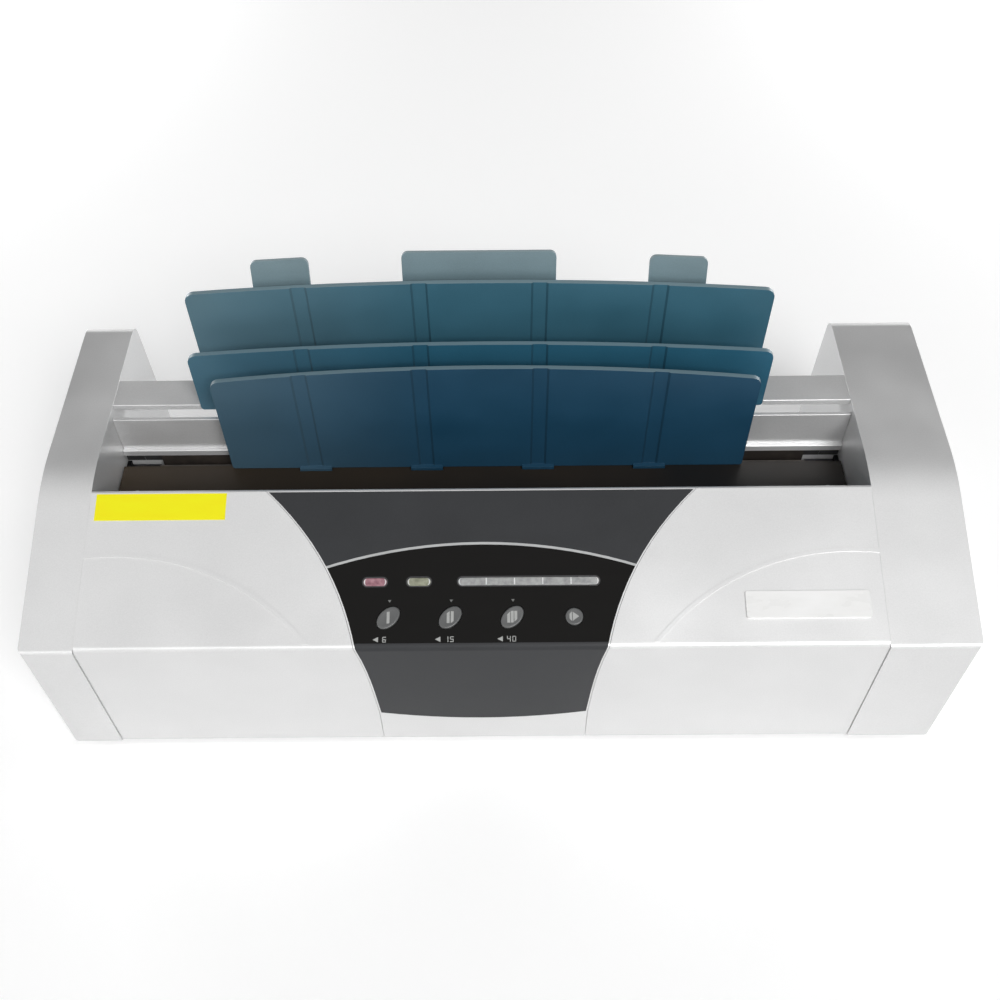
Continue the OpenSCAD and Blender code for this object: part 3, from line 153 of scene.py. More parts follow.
# %% [markdown]
# ## Silver housings
# The housings are injection-moulded ABS with silver flake in it. Flake makes the plastic a
# little metallic, and the eroded steel of the mould leaves a fine grain of about 0.2 mm. That
# is finer than a pixel, so it is drawn at 0.5 mm.

# %% Moulded ABS with silver flake
def flake_abs(name, colour, roughness=0.42, metallic=0.25):
    finish, tree, shader, place = new_finish(name, colour, roughness, 1.54, metallic)
    flow = add_node(tree, "TexNoise", {"Scale": per_mm(45), "Detail": 3.0}, {"Vector": place})
    flake = add_node(tree, "TexNoise", {"Scale": per_mm(0.6), "Detail": 2.0}, {"Vector": place})
    grain = add_node(tree, "TexNoise", {"Scale": per_mm(0.5), "Detail": 2.0, "Roughness": 0.7},
                     {"Vector": place})
    both = add_node(tree, "Mix", {"Factor": 0.5}, {"A": flow, "B": flake})
    share = add_node(tree, "MapRange", WIDEN, {"Value": both})
    paint = add_node(tree, "Mix", {"A": hex_colour(colour, 0.94), "B": hex_colour(colour, 1.05)},
                     {"Factor": share}, data_type="RGBA")
    gloss = add_node(tree, "MapRange", {**WIDEN, "To Min": roughness - 0.05, "To Max": roughness + 0.06},
                     {"Value": flow})
    bump = add_node(tree, "Bump", {"Strength": 0.12, "Distance": 0.05 * MM}, {"Height": grain})
    join(tree, shader, {"Base Color": paint, "Roughness": gloss, "Normal": bump})
    return finish

# %% [markdown]
# ## Dark and coloured mouldings
# The panel, the base, the buttons and the document plates are dyed ABS or polystyrene without
# flake. Their gloss comes from how fine the mould's grain is. On the plates, a paler colour is
# mixed into the edges that face up or outward: a painted highlight where light falls on them.
# The sloping walls of the flutes get painted shade, and the left ends of the plates are painted
# paler, as painted light.

# %% Dyed moulded plastic
# The painted highlight on the plates' edges comes in between these heights, in metres.
RIM_LOW, RIM_HIGH = 0.088, 0.095
# Painted light on the plates grows paler from HAZE_NEAR to HAZE_FAR, in metres along X.
HAZE_NEAR, HAZE_FAR = -0.03, -0.14
# Colour of the painted shade on the flute walls.
FLUTE_SHADE = "#0c2430"


def dyed_abs(name, colour, roughness=0.45, grain=0.45, depth=0.06, rim_light=None, sheen=0.5, haze=0.0):
    finish, tree, shader, place = new_finish(name, colour, roughness, 1.54)
    shader.inputs["Specular IOR Level"].default_value = sheen
    cloud = add_node(tree, "TexNoise", {"Scale": per_mm(30), "Detail": 4.0}, {"Vector": place})
    speck = add_node(tree, "TexNoise", {"Scale": per_mm(grain), "Detail": 2.0, "Roughness": 0.65},
                     {"Vector": place})
    both = add_node(tree, "Mix", {"Factor": 0.45}, {"A": cloud, "B": speck})
    share = add_node(tree, "MapRange", WIDEN, {"Value": both})
    skin = add_node(tree, "Mix", {"A": hex_colour(colour, 0.88), "B": hex_colour(colour, 1.12)},
                    {"Factor": share}, data_type="RGBA")
    # Painted highlight on edges, painted light at the left end and painted shade in the flutes.
    if rim_light:
        skin = painted_rim_light(tree, skin, rim_light, haze, place)
    gloss = add_node(tree, "MapRange", {**WIDEN, "To Min": roughness - 0.06, "To Max": roughness + 0.08},
                     {"Value": cloud})
    bump = add_node(tree, "Bump", {"Strength": 0.25, "Distance": depth * MM}, {"Height": speck})
    join(tree, shader, {"Base Color": skin, "Roughness": gloss, "Normal": bump})
    return finish


def painted_rim_light(tree, skin, rim_light, haze, place):
    """Paints highlight on a plate's upper and outer edges, light on its left end, shade in its flutes."""
    facing = add_node(tree, "SeparateXYZ", links={"Vector": add_node(tree, "NewGeometry").outputs["Normal"]})
    spot = add_node(tree, "SeparateXYZ", links={"Vector": place})
    # Painted highlight: edges that face up or outward, above RIM_LOW, go paler.
    upper = add_node(tree, "MapRange", {"From Min": 0.2, "From Max": 0.7, "To Max": 0.85},
                     {"Value": facing.outputs["Z"]})
    sideways = add_node(tree, "Math", links={0: facing.outputs["X"]}, operation="ABSOLUTE")
    outer = add_node(tree, "MapRange", {"From Min": 0.7, "From Max": 0.95, "To Max": 0.6},
                     {"Value": sideways})
    turned = add_node(tree, "Math", links={0: upper, 1: outer}, operation="MAXIMUM")
    raised = add_node(tree, "MapRange", {"From Min": RIM_LOW, "From Max": RIM_HIGH},
                      {"Value": spot.outputs["Z"]})
    edges = add_node(tree, "Math", links={0: turned, 1: raised}, operation="MULTIPLY")
    # Painted light: the plate gets paler towards its left end.
    painted_glow = add_node(tree, "MapRange", {"From Min": HAZE_NEAR, "From Max": HAZE_FAR, "To Max": haze},
                    {"Value": spot.outputs["X"]})
    share = add_node(tree, "Math", links={0: edges, 1: painted_glow}, operation="MAXIMUM")
    # Painted shade on the sloping walls of the flutes.
    painted_flute_shade = add_node(tree, "MapRange", {"From Min": 0.08, "From Max": 0.4, "To Max": 0.4},
                      {"Value": sideways})
    walls = add_node(tree, "Mix", {"B": hex_colour(FLUTE_SHADE)}, {"A": skin, "Factor": painted_flute_shade},
                     data_type="RGBA")
    return add_node(tree, "Mix", {"B": hex_colour(rim_light)}, {"A": walls, "Factor": share}, data_type="RGBA")

# %% [markdown]
# ## Clear and printed plastics
# The window is a smoked film with a hard gloss, which shows faint smears. The lenses are frosted
# acrylic: light goes a little way in, so they look soft and lighter in the middle. Ink, labels
# and the name plate are thin and smooth.

# %% Film, lenses and print
def gloss_film(name, colour, roughness=0.16, smear=0.10, sheen=0.5):
    finish, tree, shader, place = new_finish(name, colour, roughness, 1.49)
    shader.inputs["Specular IOR Level"].default_value = sheen
    wiped = add_node(tree, "Mapping", {"Scale": (1.0, 3.0, 1.0)}, {"Vector": place})
    smears = add_node(tree, "TexNoise", {"Scale": per_mm(18), "Detail": 5.0}, {"Vector": wiped})
    tint = add_node(tree, "Mix", {"A": hex_colour(colour), "B": hex_colour(colour, 1.2)}, {"Factor": smears},
                    data_type="RGBA")
    haze = add_node(tree, "MapRange", {**WIDEN, "To Min": roughness, "To Max": roughness + smear},
                    {"Value": smears})
    ripple = add_node(tree, "TexNoise", {"Scale": per_mm(3)}, {"Vector": place})
    bump = add_node(tree, "Bump", {"Strength": 0.04, "Distance": 0.02 * MM}, {"Height": ripple})
    join(tree, shader, {"Base Color": tint, "Roughness": haze, "Normal": bump})
    return finish


def frosted_acrylic(name, edge, middle, roughness=0.22):
    finish, tree, shader, place = new_finish(name, edge, roughness, 1.49)
    frost = add_node(tree, "TexNoise", {"Scale": per_mm(2.5), "Detail": 4.0}, {"Vector": place})
    glow = add_node(tree, "MapRange", WIDEN, {"Value": frost})
    body = add_node(tree, "Mix", {"A": hex_colour(edge), "B": hex_colour(middle)}, {"Factor": glow},
                    data_type="RGBA")
    bump = add_node(tree, "Bump", {"Strength": 0.1, "Distance": 0.05 * MM}, {"Height": frost})
    join(tree, shader, {"Base Color": body, "Normal": bump})
    for key, value in {"Subsurface Weight": 0.35, "Subsurface Radius": (1.2 * MM, 1.0 * MM, 1.0 * MM),
                       "Coat Weight": 0.5, "Coat Roughness": 0.08}.items():
        shader.inputs[key].default_value = value
    return finish

# %% [markdown]
# ## Metals
# Sheet steel is zinc plated: cloudy, with a faint spangle. Shafts and rods are ground round, so
# their scratches run round them, closer than the eye can part. The deck is black oven paint over
# steel, browner and lighter towards the left and in broad blotches, with a slight orange peel.

# %% Plated, ground and painted metal
BROWN_NEAR, BROWN_FAR = 0.1, -0.2


def plated_steel(name, colour, roughness=0.34):
    finish, tree, shader, place = new_finish(name, colour, roughness, 1.5, 1.0)
    spangle = add_node(tree, "TexVoronoi", {"Scale": per_mm(6)}, {"Vector": place})
    cloud = add_node(tree, "TexNoise", {"Scale": per_mm(12), "Detail": 4.0}, {"Vector": place})
    both = add_node(tree, "Mix", {"Factor": 0.6}, {"A": spangle, "B": cloud})
    gloss = add_node(tree, "MapRange", {**WIDEN, "To Min": roughness - 0.08, "To Max": roughness + 0.12},
                     {"Value": both})
    bump = add_node(tree, "Bump", {"Strength": 0.08, "Distance": 0.05 * MM}, {"Height": cloud})
    join(tree, shader, {"Roughness": gloss, "Normal": bump})
    return finish


def ground_metal(name, colour, roughness=0.25, along="X", scratch=0.25):
    """Fine scratches that run across the axis along, as a lathe or a grinder leaves them."""
    finish, tree, shader, place = new_finish(name, colour, roughness, 1.5, 1.0)
    stretch = [1.0 if axis == along else 0.02 for axis in "XYZ"]
    lay = add_node(tree, "Mapping", {"Scale": stretch}, {"Vector": place})
    lines = add_node(tree, "TexNoise", {"Scale": per_mm(scratch), "Detail": 3.0}, {"Vector": lay})
    gloss = add_node(tree, "MapRange", {**WIDEN, "To Min": roughness - 0.07, "To Max": roughness + 0.12},
                     {"Value": lines})
    bump = add_node(tree, "Bump", {"Strength": 0.15, "Distance": 0.02 * MM}, {"Height": lines})
    join(tree, shader, {"Roughness": gloss, "Normal": bump})
    return finish


def oven_paint(name, plain_black, brown_tint, roughness=0.45, sheen=0.3):
    """Black paint that gets browner and lighter towards the left and in broad blotches."""
    finish, tree, shader, place = new_finish(name, plain_black, roughness, 1.5)
    shader.inputs["Specular IOR Level"].default_value = sheen
    blotches = add_node(tree, "TexNoise", {"Scale": per_mm(70), "Detail": 3.0}, {"Vector": place})
    across = add_node(tree, "SeparateXYZ", links={"Vector": place}).outputs["X"]
    drift = add_node(tree, "MapRange",
                     {"From Min": BROWN_NEAR, "From Max": BROWN_FAR, "To Min": -0.35, "To Max": 0.35},
                     {"Value": across})
    share = add_node(tree, "Math", links={0: blotches, 1: drift}, operation="ADD", use_clamp=True)
    paint = add_node(tree, "Mix", {"A": hex_colour(plain_black), "B": hex_colour(brown_tint)}, {"Factor": share},
                     data_type="RGBA")
    peel = add_node(tree, "TexNoise", {"Scale": per_mm(1.2), "Detail": 2.0}, {"Vector": place})
    bump = add_node(tree, "Bump", {"Strength": 0.2, "Distance": 0.05 * MM}, {"Height": peel})
    join(tree, shader, {"Base Color": paint, "Normal": bump})
    return finish

# %% [markdown]
# ## Rubber, boards and banded stock
# Rubber scatters light with hardly any gloss. A circuit board is glass cloth under green resist,
# with straight copper tracks that show as paler bands. Laminated and striped stock, such as the
# transformer's core and the ribbon, shows its layers as even bands.

# %% Rubber, circuit board and banded stock
def moulded_rubber(name, colour, roughness=0.75):
    finish, tree, shader, place = new_finish(name, colour, roughness, 1.52)
    dust = add_node(tree, "TexNoise", {"Scale": per_mm(8), "Detail": 6.0}, {"Vector": place})
    coat = add_node(tree, "MapRange", {"From Min": 0.45, "From Max": 0.8}, {"Value": dust})
    skin = add_node(tree, "Mix", {"A": hex_colour(colour), "B": hex_colour(colour, 2.5)}, {"Factor": coat},
                    data_type="RGBA")
    bump = add_node(tree, "Bump", {"Strength": 0.3, "Distance": 0.08 * MM}, {"Height": dust})
    join(tree, shader, {"Base Color": skin, "Normal": bump})
    return finish


def circuit_board(name, resist, track):
    finish, tree, shader, place = new_finish(name, resist, 0.3, 1.5)
    route = add_node(tree, "TexBrick", {
        "Scale": per_mm(22), "Color1": hex_colour(resist), "Color2": hex_colour(resist, 1.15),
        "Mortar": hex_colour(track), "Mortar Size": 0.02, "Brick Width": 0.37, "Row Height": 0.13},
        {"Vector": place})
    bump = add_node(tree, "Bump", {"Strength": 0.3, "Distance": 0.05 * MM}, {"Height": route.outputs["Fac"]})
    join(tree, shader, {"Base Color": route, "Normal": bump})
    return finish


def banded_stock(name, light, dark, pitch, along, roughness=0.5, metallic=0.0):
    """Even bands pitch millimetres apart along an axis."""
    finish, tree, shader, place = new_finish(name, light, roughness, 1.5, metallic)
    bands = add_node(tree, "TexWave", {"Scale": per_mm(pitch) * math.pi / 10, "Distortion": 0.2},
                     {"Vector": place}, bands_direction=along).outputs["Fac"]
    stripe = add_node(tree, "Mix", {"A": hex_colour(light), "B": hex_colour(dark)}, {"Factor": bands},
                      data_type="RGBA")
    bump = add_node(tree, "Bump", {"Strength": 0.4, "Distance": 0.1 * MM}, {"Height": bands})
    join(tree, shader, {"Base Color": stripe, "Normal": bump})
    return finish


def pressed_board(name, colour, fleck, grain, roughness=0.6):
    """Mica or phenolic laminate: flakes pressed flat in resin."""
    finish, tree, shader, place = new_finish(name, colour, roughness, 1.56)
    flakes = add_node(tree, "TexVoronoi", {"Scale": per_mm(grain)}, {"Vector": place})
    mottle = add_node(tree, "Mix", {"A": hex_colour(colour), "B": hex_colour(fleck)}, {"Factor": flakes},
                      data_type="RGBA")
    bump = add_node(tree, "Bump", {"Strength": 0.2, "Distance": 0.05 * MM}, {"Height": flakes})
    join(tree, shader, {"Base Color": mottle, "Normal": bump})
    return finish

# %% [markdown]
# ## The finishes of this machine
# Each finish is made once and shared by every piece of that stuff. The colours are the ones that
# the moulder, the plater or the printer would quote.

# %% Make the finishes
SILVER = flake_abs("silver_flake_abs", "#dcdcdc", 0.36, 0.44)
SILVER_COVER = flake_abs("silver_cover_abs", "#dddddd", 0.36, 0.44)
CHARCOAL = dyed_abs("charcoal_panel_abs", "#3a3b3d", roughness=0.42, sheen=0.12)
BASE_BLACK = dyed_abs("black_base_abs", "#1b1b1d", roughness=0.55, grain=0.9, depth=0.12)
TEAL = dyed_abs("teal_polystyrene", "#184058", roughness=0.48, grain=0.5, rim_light="#6f8790", sheen=0.3,
                haze=0.3)
# Middle, rear and tab plates: the same teal painted lighter or greyer, as painted light on each.
TEAL_MIDDLE_LIT = dyed_abs("teal_polystyrene_painted_light_middle", "#2a5f77", roughness=0.48, grain=0.5, rim_light="#6f8790",
                       sheen=0.3, haze=0.3)
TEAL_REAR_LIT = dyed_abs("teal_polystyrene_painted_light_rear", "#356274", roughness=0.5, grain=0.5, rim_light="#7d9299",
                     sheen=0.3, haze=0.35)
TEAL_TABS_LIT = dyed_abs("teal_polystyrene_painted_light_tabs", "#6c8188", roughness=0.5, grain=0.5, rim_light="#8ea0a5", sheen=0.3)
BUTTON_GREY = dyed_abs("grey_button_abs", "#5a5b5b", roughness=0.36, grain=0.4)
SWITCH_BLACK = dyed_abs("black_nylon", "#18181a", roughness=0.5)
WINDOW = gloss_film("smoked_window_film", "#11100f", sheen=0.12)
TRIM = gloss_film("silver_foil_trim", "#b4b5b5", roughness=0.28)
BEZEL = gloss_film("smoked_bezel", "#3a3a3b", roughness=0.2)
RED_LENS = frosted_acrylic("rose_frosted_acrylic", "#7c4654", "#b98892")
GREEN_LENS = frosted_acrylic("green_frosted_acrylic", "#7d7f68", "#a8aa94")
CLEAR_LENS = frosted_acrylic("clear_frosted_acrylic", "#8f9090", "#b4b5b4")
# Near white for the lens ribs and for the painted highlights on the lens ends.
RIB_AND_HIGHLIGHT = frosted_acrylic("acrylic_rib_and_painted_highlight", "#d6d7d6", "#f2f2f2", roughness=0.12)
WHITE_INK = gloss_film("pale_grey_ink", "#a6a7a5", roughness=0.45)
DIM_INK = gloss_film("dim_grey_ink", "#6a6b69", roughness=0.45)
YELLOW_FILM = gloss_film("yellow_vinyl_film", "#fff01c", roughness=0.4, sheen=0.25)
NAME_WHITE = gloss_film("white_styrene_plate", "#ededeb", roughness=0.25)
DECK_PAINT = oven_paint("black_oven_paint", "#100f0f", "#362c20")
ZINC = plated_steel("zinc_plated_steel", "#b4b7ba")
BLACK_STEEL = plated_steel("blackened_steel", "#2c2c2e", roughness=0.45)
SCREW = plated_steel("zinc_plated_screw", "#a9acb0", roughness=0.28)
ROD = ground_metal("ground_rod_steel", "#c8ccd0", along="Y")
SHAFT = ground_metal("ground_shaft_steel", "#c8ccd0", along="X")
HEATER = ground_metal("brushed_aluminium", "#c2c5c8", roughness=0.3, along="Y")
BRONZE = ground_metal("sintered_bronze", "#b08d57", roughness=0.4, along="X", scratch=0.5)
BRASS = ground_metal("brass_blade", "#c9a55a", roughness=0.25, along="Y")
ACETAL = dyed_abs("natural_acetal", "#d9d5c8", roughness=0.35, grain=0.8)
SILICONE = moulded_rubber("black_silicone", "#26211d", roughness=0.6)
RUBBER = moulded_rubber("black_rubber", "#202020")
BOARD = circuit_board("green_circuit_board", "#1f5a38", "#3f8255")
LED_LENS = frosted_acrylic("clear_led_epoxy", "#dcdcd6", "#f2f2ee", roughness=0.1)
MICA = pressed_board("mica_laminate", "#8a6a3a", "#b39258", 3.0)
PHENOLIC = pressed_board("phenolic_board", "#4a3b2c", "#5c4a38", 2.0)
CERAMIC = pressed_board("sensor_ceramic", "#cfc8b6", "#e2dccb", 0.8, roughness=0.5)
CORE = banded_stock("laminated_core", "#63676c", "#3f4246", 1.0, "Y", metallic=0.6)
RIBBON = banded_stock("ribbon_cable_pvc", "#bdb9b0", "#8d8981", 1.27, "X")
PART_BLUE = dyed_abs("moulded_part_casing", "#2b4478", roughness=0.4)
ROCKER_RED = dyed_abs("red_rocker_nylon", "#a82228", roughness=0.3, grain=0.6)
print("finishes:", len(bpy.data.materials))

# %% [markdown]
# ## Dressing the solids
# Most solids already have the right shape. A moulding isn't knife-edged though: the tool's
# corners are a little round, and that thin round is what catches the light along every seam.
# So the mouldings are copied, their flat triangles joined up and their sharp edges rounded
# with a bevel, and each copy stands for its solid. A narrow face, such as the sloping wall of a
# flute, gets a smaller round, so that it isn't eaten away. Weighted normals then keep the broad
# faces flat to the eye. Parts hidden inside keep their solid.

# %% Round the edges of a copy of a solid
NARROWEST, WELD, FLAT = 0.3, 0.002 * MM, math.radians(0.6)


def with_soft_edges(node, finish, radius, steps=3, sharp=24):
    solid = SOLIDS[node]
    piece = bpy.data.objects.new(node + "_moulded", solid.data.copy())
    bpy.context.scene.collection.objects.link(piece)
    shape = bmesh.new()
    shape.from_mesh(piece.data)
    bmesh.ops.remove_doubles(shape, verts=shape.verts, dist=WELD)
    bmesh.ops.dissolve_limit(shape, angle_limit=FLAT, verts=shape.verts, edges=shape.edges)
    share = shape.edges.layers.float.new("bevel_weight_edge")
    width = {face: 2 * face.calc_area() / face.calc_perimeter() for face in shape.faces}
    for edge in shape.edges:
        if len(edge.link_faces) == 2 and edge.calc_face_angle() > math.radians(sharp):
            edge[share] = min(1, NARROWEST * min(width[face] for face in edge.link_faces) / (radius * MM))
    for face in shape.faces:
        face.smooth = True
    shape.to_mesh(piece.data)
    shape.free()
    piece.data.materials.clear()
    piece.data.materials.append(finish)
    rounding = piece.modifiers.new("rounded edges", "BEVEL")
    rounding.width, rounding.segments, rounding.limit_method = radius * MM, steps, "WEIGHT"
    piece.modifiers.new("flat faces stay flat", "WEIGHTED_NORMAL").weight = 100
    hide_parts(node)
    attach(piece, solid["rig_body"])
    return piece


def finish_solid(finish, *nodes):
    """Gives solids that stay as they are their material."""
    for node in nodes:
        for slot in SOLIDS[node].material_slots:
            slot.material = finish


SOFT_EDGES = {
    SILVER: {"left_end_housing": 0.9, "right_end_housing": 0.9, "rear_panel": 0.15, "crossbar": 0.2},
    SILVER_COVER: {"left_wing_cover": 0.7, "right_wing_cover": 0.7, "centre_cover": 0.2},
    CHARCOAL: {"panel_fascia": 0.15},
    TEAL: {"clamp_plate": 0.6},
    TEAL_MIDDLE_LIT: {"middle_plate": 0.6},
    TEAL_REAR_LIT: {"rear_plate": 0.6},
    TEAL_TABS_LIT: {"tabbed_plate": 0.6},
    DECK_PAINT: {"clamp_deck": 0.4, "fixed_jaw": 0.2},
    NAME_WHITE: {"name_strip": 0.25},
    BASE_BLACK: {"base_plate": 0.4},
    SWITCH_BLACK: {"power_inlet": 0.4, "switch_frame": 0.3},
    ROCKER_RED: {"switch_rocker": 0.4},
}
for finish, nodes in SOFT_EDGES.items():
    for node, radius in nodes.items():
        with_soft_edges(node, finish, radius)
finish_solid(WINDOW, "display_window")
finish_solid(TRIM, "panel_trim")
finish_solid(BEZEL, "lens_bezels")
finish_solid(SWITCH_BLACK, "tact_switches")
finish_solid(BOARD, "control_board", "power_board")
finish_solid(LED_LENS, "indicator_leds")
finish_solid(SCREW, "board_screws")
finish_solid(YELLOW_FILM, "yellow_sticker")
finish_solid(SILICONE, "clamp_pad", "fixed_pad")
finish_solid(ZINC, "rack_pinions", "motor_pinion", "motor_bracket")
finish_solid(BLACK_STEEL, "left_carriage", "right_carriage", "left_side_frame", "right_side_frame")
finish_solid(ROD, "guide_rods")
finish_solid(SHAFT, "drive_shaft", "gear_motor")
finish_solid(ACETAL, "drive_gear")
finish_solid(BRONZE, "shaft_bushes")
finish_solid(HEATER, "heater_plate")
finish_solid(MICA, "heating_element")
finish_solid(PHENOLIC, "heater_tray")
finish_solid(CERAMIC, "thermal_sensors")
finish_solid(CORE, "mains_transformer")
finish_solid(PART_BLUE, "board_components")
finish_solid(RIBBON, "ribbon_cable")
print("rounded:", sum(len(nodes) for nodes in SOFT_EDGES.values()), "pieces")

# %% [markdown]
# ## Building by rings
# Buttons, lenses, feet and screws are all stacks of outlines: a stem, a flange, a wall, a rounded
# shoulder and a dished top. Lofting a skin over rings with the same number of points makes a
# closed mesh, and the rings can change shape on the way. The control panel slopes, so its pieces
# are drawn flat and then laid on the slope.

# %% Loft a closed skin over a stack of rings
SLOPE = math.radians(17.9)
SLOPE_FOOT = Vector((-8.35, -94.2, 89.26)) * MM


def on_slope(across, up, out):
    """A point of the sloping panel: millimetres right of its middle, up the slope and out of it."""
    rise, run = math.sin(SLOPE), math.cos(SLOPE)
    return SLOPE_FOOT + Vector((across, up * run - out * rise, up * rise + out * run)) * MM


def make_piece(name, shape, finish, node, stands=True):
    """Turns a finished bmesh into a piece that rides with a solid, and stands for it or adds to it."""
    bmesh.ops.recalc_face_normals(shape, faces=shape.faces)
    mesh = bpy.data.meshes.new(name)
    shape.to_mesh(mesh)
    shape.free()
    mesh.materials.append(finish)
    piece = bpy.data.objects.new(name, mesh)
    bpy.context.scene.collection.objects.link(piece)
    if stands:
        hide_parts(node)
    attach(piece, SOLIDS[node]["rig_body"])
    return piece


def loft(shape, rings, crease=30):
    """Skins a stack of rings and closes both ends. Edges sharper than crease degrees stay crisp."""
    rows = [[shape.verts.new(point) for point in ring] for ring in rings]
    for low, high in zip(rows, rows[1:]):
        for i in range(len(low)):
            j = (i + 1) % len(low)
            shape.faces.new((low[i], low[j], high[j], high[i]))
    shape.faces.new(rows[0])
    shape.faces.new(rows[-1])
    shape.normal_update()
    for face in shape.faces:
        face.smooth = True
    for edge in shape.edges:
        if len(edge.link_faces) == 2 and edge.calc_face_angle() > math.radians(crease):
            edge.smooth = False


def circle(radius, count=48):
    return [(radius * math.cos(2 * math.pi * i / count), radius * math.sin(2 * math.pi * i / count))
            for i in range(count)]


def slanted_oval(long, short, grow=0, count=48):
    """An oval whose long axis leans 45 degrees to the right."""
    points = []
    for i in range(count):
        turn = 2 * math.pi * i / count - math.pi / 4
        u, v = (long / 2 + grow) * math.cos(turn), (short / 2 + grow) * math.sin(turn)
        points.append(((u - v) * math.sqrt(0.5), (u + v) * math.sqrt(0.5)))
    return points


def pill(width, height, count=48):
    """A bar with round ends."""
    half = (width - height) / 2
    return [(x + math.copysign(half, x) if abs(x) > 1e-6 else x, y) for x, y in circle(height / 2, count)]

# %% [markdown]
# ## Buttons
# Three slanted ovals choose the thickness of the spine and a round one resets the clamp. Each cap
# stands 0.9 mm out of the window, has a rounded shoulder and a shallow dish for the fingertip.
# Below the skin it widens to a flange and ends in a stem over its switch.

# %% Make the buttons and their marks
BUTTON_UP, BUTTON_PITCH = 14.2, 27.8
BUTTON_PROUD, SHOULDER, DISH = 0.9, 0.55, 0.25
FLANGE_TOP, FLANGE_LOW, STEM_END, STEM_R = -4.2, -5.4, -8.9, 1.6
OVAL_LONG, OVAL_SHORT, RESET_R = 12.2, 8, 4
BAR_W, BAR_H, INK_IN = 1.3, 5.4, 0.05


def button(node, across, outline):
    def ring(points, out):
        return [on_slope(across + x, BUTTON_UP + y, out) for x, y in points]

    shoulder = []
    for step in range(5):
        turn = math.pi / 2 * step / 4
        shoulder.append(ring(outline(-SHOULDER * (1 - math.cos(turn))),
                             BUTTON_PROUD - SHOULDER * (1 - math.sin(turn))))
    dish = [ring([(x * share, y * share) for x, y in outline(-SHOULDER)],
                 BUTTON_PROUD - DISH * (1 - share * share)) for share in (0.8, 0.55, 0.3, 0.1)]
    shape = bmesh.new()
    loft(shape, [ring(circle(STEM_R), STEM_END), ring(circle(STEM_R), FLANGE_LOW),
                 ring(outline(0.9), FLANGE_LOW), ring(outline(0.9), FLANGE_TOP),
                 ring(outline(0), FLANGE_TOP)] + shoulder + dish)
    return make_piece(node + "_cap", shape, BUTTON_GREY, node)


def slope_marks(name, outlines, across, up, out, node, finish=WHITE_INK, thick=0.06):
    """Thin marks on the slope (print, lens ribs, painted highlights), drawn round a point, which ride with a
    solid.
    """
    shape = bmesh.new()
    for outline in outlines:
        loft(shape, [[on_slope(across + x, up + y, level) for x, y in outline]
                     for level in (out - INK_IN, out + thick)])
    return make_piece(name, shape, finish, node, stands=False)


def bar(x, width, height, y=0):
    return [(x + i * width / 2, y + j * height / 2) for i, j in ((-1, -1), (1, -1), (1, 1), (-1, 1))]


BUTTONS = ["button_thin", "button_medium", "button_thick", "button_reset"]
BARS = {"button_thin": [0], "button_medium": [-0.9, 0.9], "button_thick": [-1.6, 0, 1.6]}
button_top = BUTTON_PROUD - DISH
for place, node in enumerate(BUTTONS):
    across = (place - 1.5) * BUTTON_PITCH
    if node in BARS:
        button(node, across, lambda grow: slanted_oval(OVAL_LONG, OVAL_SHORT, grow))
        marks = [bar(x, BAR_W, BAR_H) for x in BARS[node]]
    else:
        button(node, across, lambda grow: circle(RESET_R + grow))
        marks = [bar(-1.6, 1.1, 4.2), [(-0.7, -2.1), (2.2, 0), (-0.7, 2.1)]]
    slope_marks(node + "_mark", marks, across, BUTTON_UP, button_top + 0.06, node)
print("buttons:", len(BUTTONS))

# %% [markdown]
# ## Lenses
# A lens is clipped in from behind: a flange under the skin, a straight wall through it, and a
# domed face just proud of the bezel. Each round end gets a bright sliver, a painted highlight. The
# long one is one moulding with a rib between each two of its five windows, which keeps the light
# of each lamp to itself. The ribs are real, and their near-white colour is a painted highlight.

# %% Make the lenses
LENS_UP, LENS_H, LENS_FIT, LENS_PROUD = 30.9, 3.9, 0.05, 0.2
LENS_DEPTH, SKIN_T, LENS_FLANGE = -6.2, -3.7, 1.0
WINDOWS, RIB_W = 5, 0.55
LENSES = {"power_lens": (-48.1, 10.8, RED_LENS), "insert_lens": (-28.2, 10.8, GREEN_LENS),
          "progress_lens": (21.5, 64.0, CLEAR_LENS)}
for node, (across, width, finish) in LENSES.items():
    def ring(grow, out):
        return [on_slope(across + x, LENS_UP + y, out)
                for x, y in pill(width - 2 * LENS_FIT + grow, LENS_H - 2 * LENS_FIT + grow)]

    shape = bmesh.new()
    dome = [ring(-0.5 * (1 - math.cos(turn)), LENS_PROUD - 0.3 * (1 - math.sin(turn)))
            for turn in (0, math.pi / 6, math.pi / 3, math.pi / 2)]
    dome += [ring(-1.6, LENS_PROUD + 0.05), ring(-2.8, LENS_PROUD + 0.08)]
    loft(shape, [ring(0, LENS_DEPTH), ring(0, SKIN_T - LENS_FLANGE),
                 ring(3 * LENS_FLANGE, SKIN_T - LENS_FLANGE), ring(3 * LENS_FLANGE, SKIN_T),
                 ring(0, SKIN_T)] + dome)
    make_piece(node + "_moulding", shape, finish, node)
across, width, finish = LENSES["progress_lens"]
ribs = [bar(width * (i / WINDOWS - 0.5), RIB_W, LENS_H - 0.8) for i in range(1, WINDOWS)]
slope_marks("progress_ribs", ribs, across, LENS_UP, LENS_PROUD + 0.1, "progress_lens", RIB_AND_HIGHLIGHT, 0.12)


def highlight_crescent(x, side, radius, thick, count=8):
    """A painted highlight: a bright sliver along the round end of a lens; side is -1 at its left end."""
    turns = [math.pi * (i / count - 0.5) * 0.8 for i in range(count + 1)]
    outer = [(x + side * radius * math.cos(t), radius * math.sin(t)) for t in turns]
    inner = [(x + side * (radius - thick * math.cos(t)) * math.cos(t), radius * 0.96 * math.sin(t))
             for t in turns]
    return outer + inner[::-1]


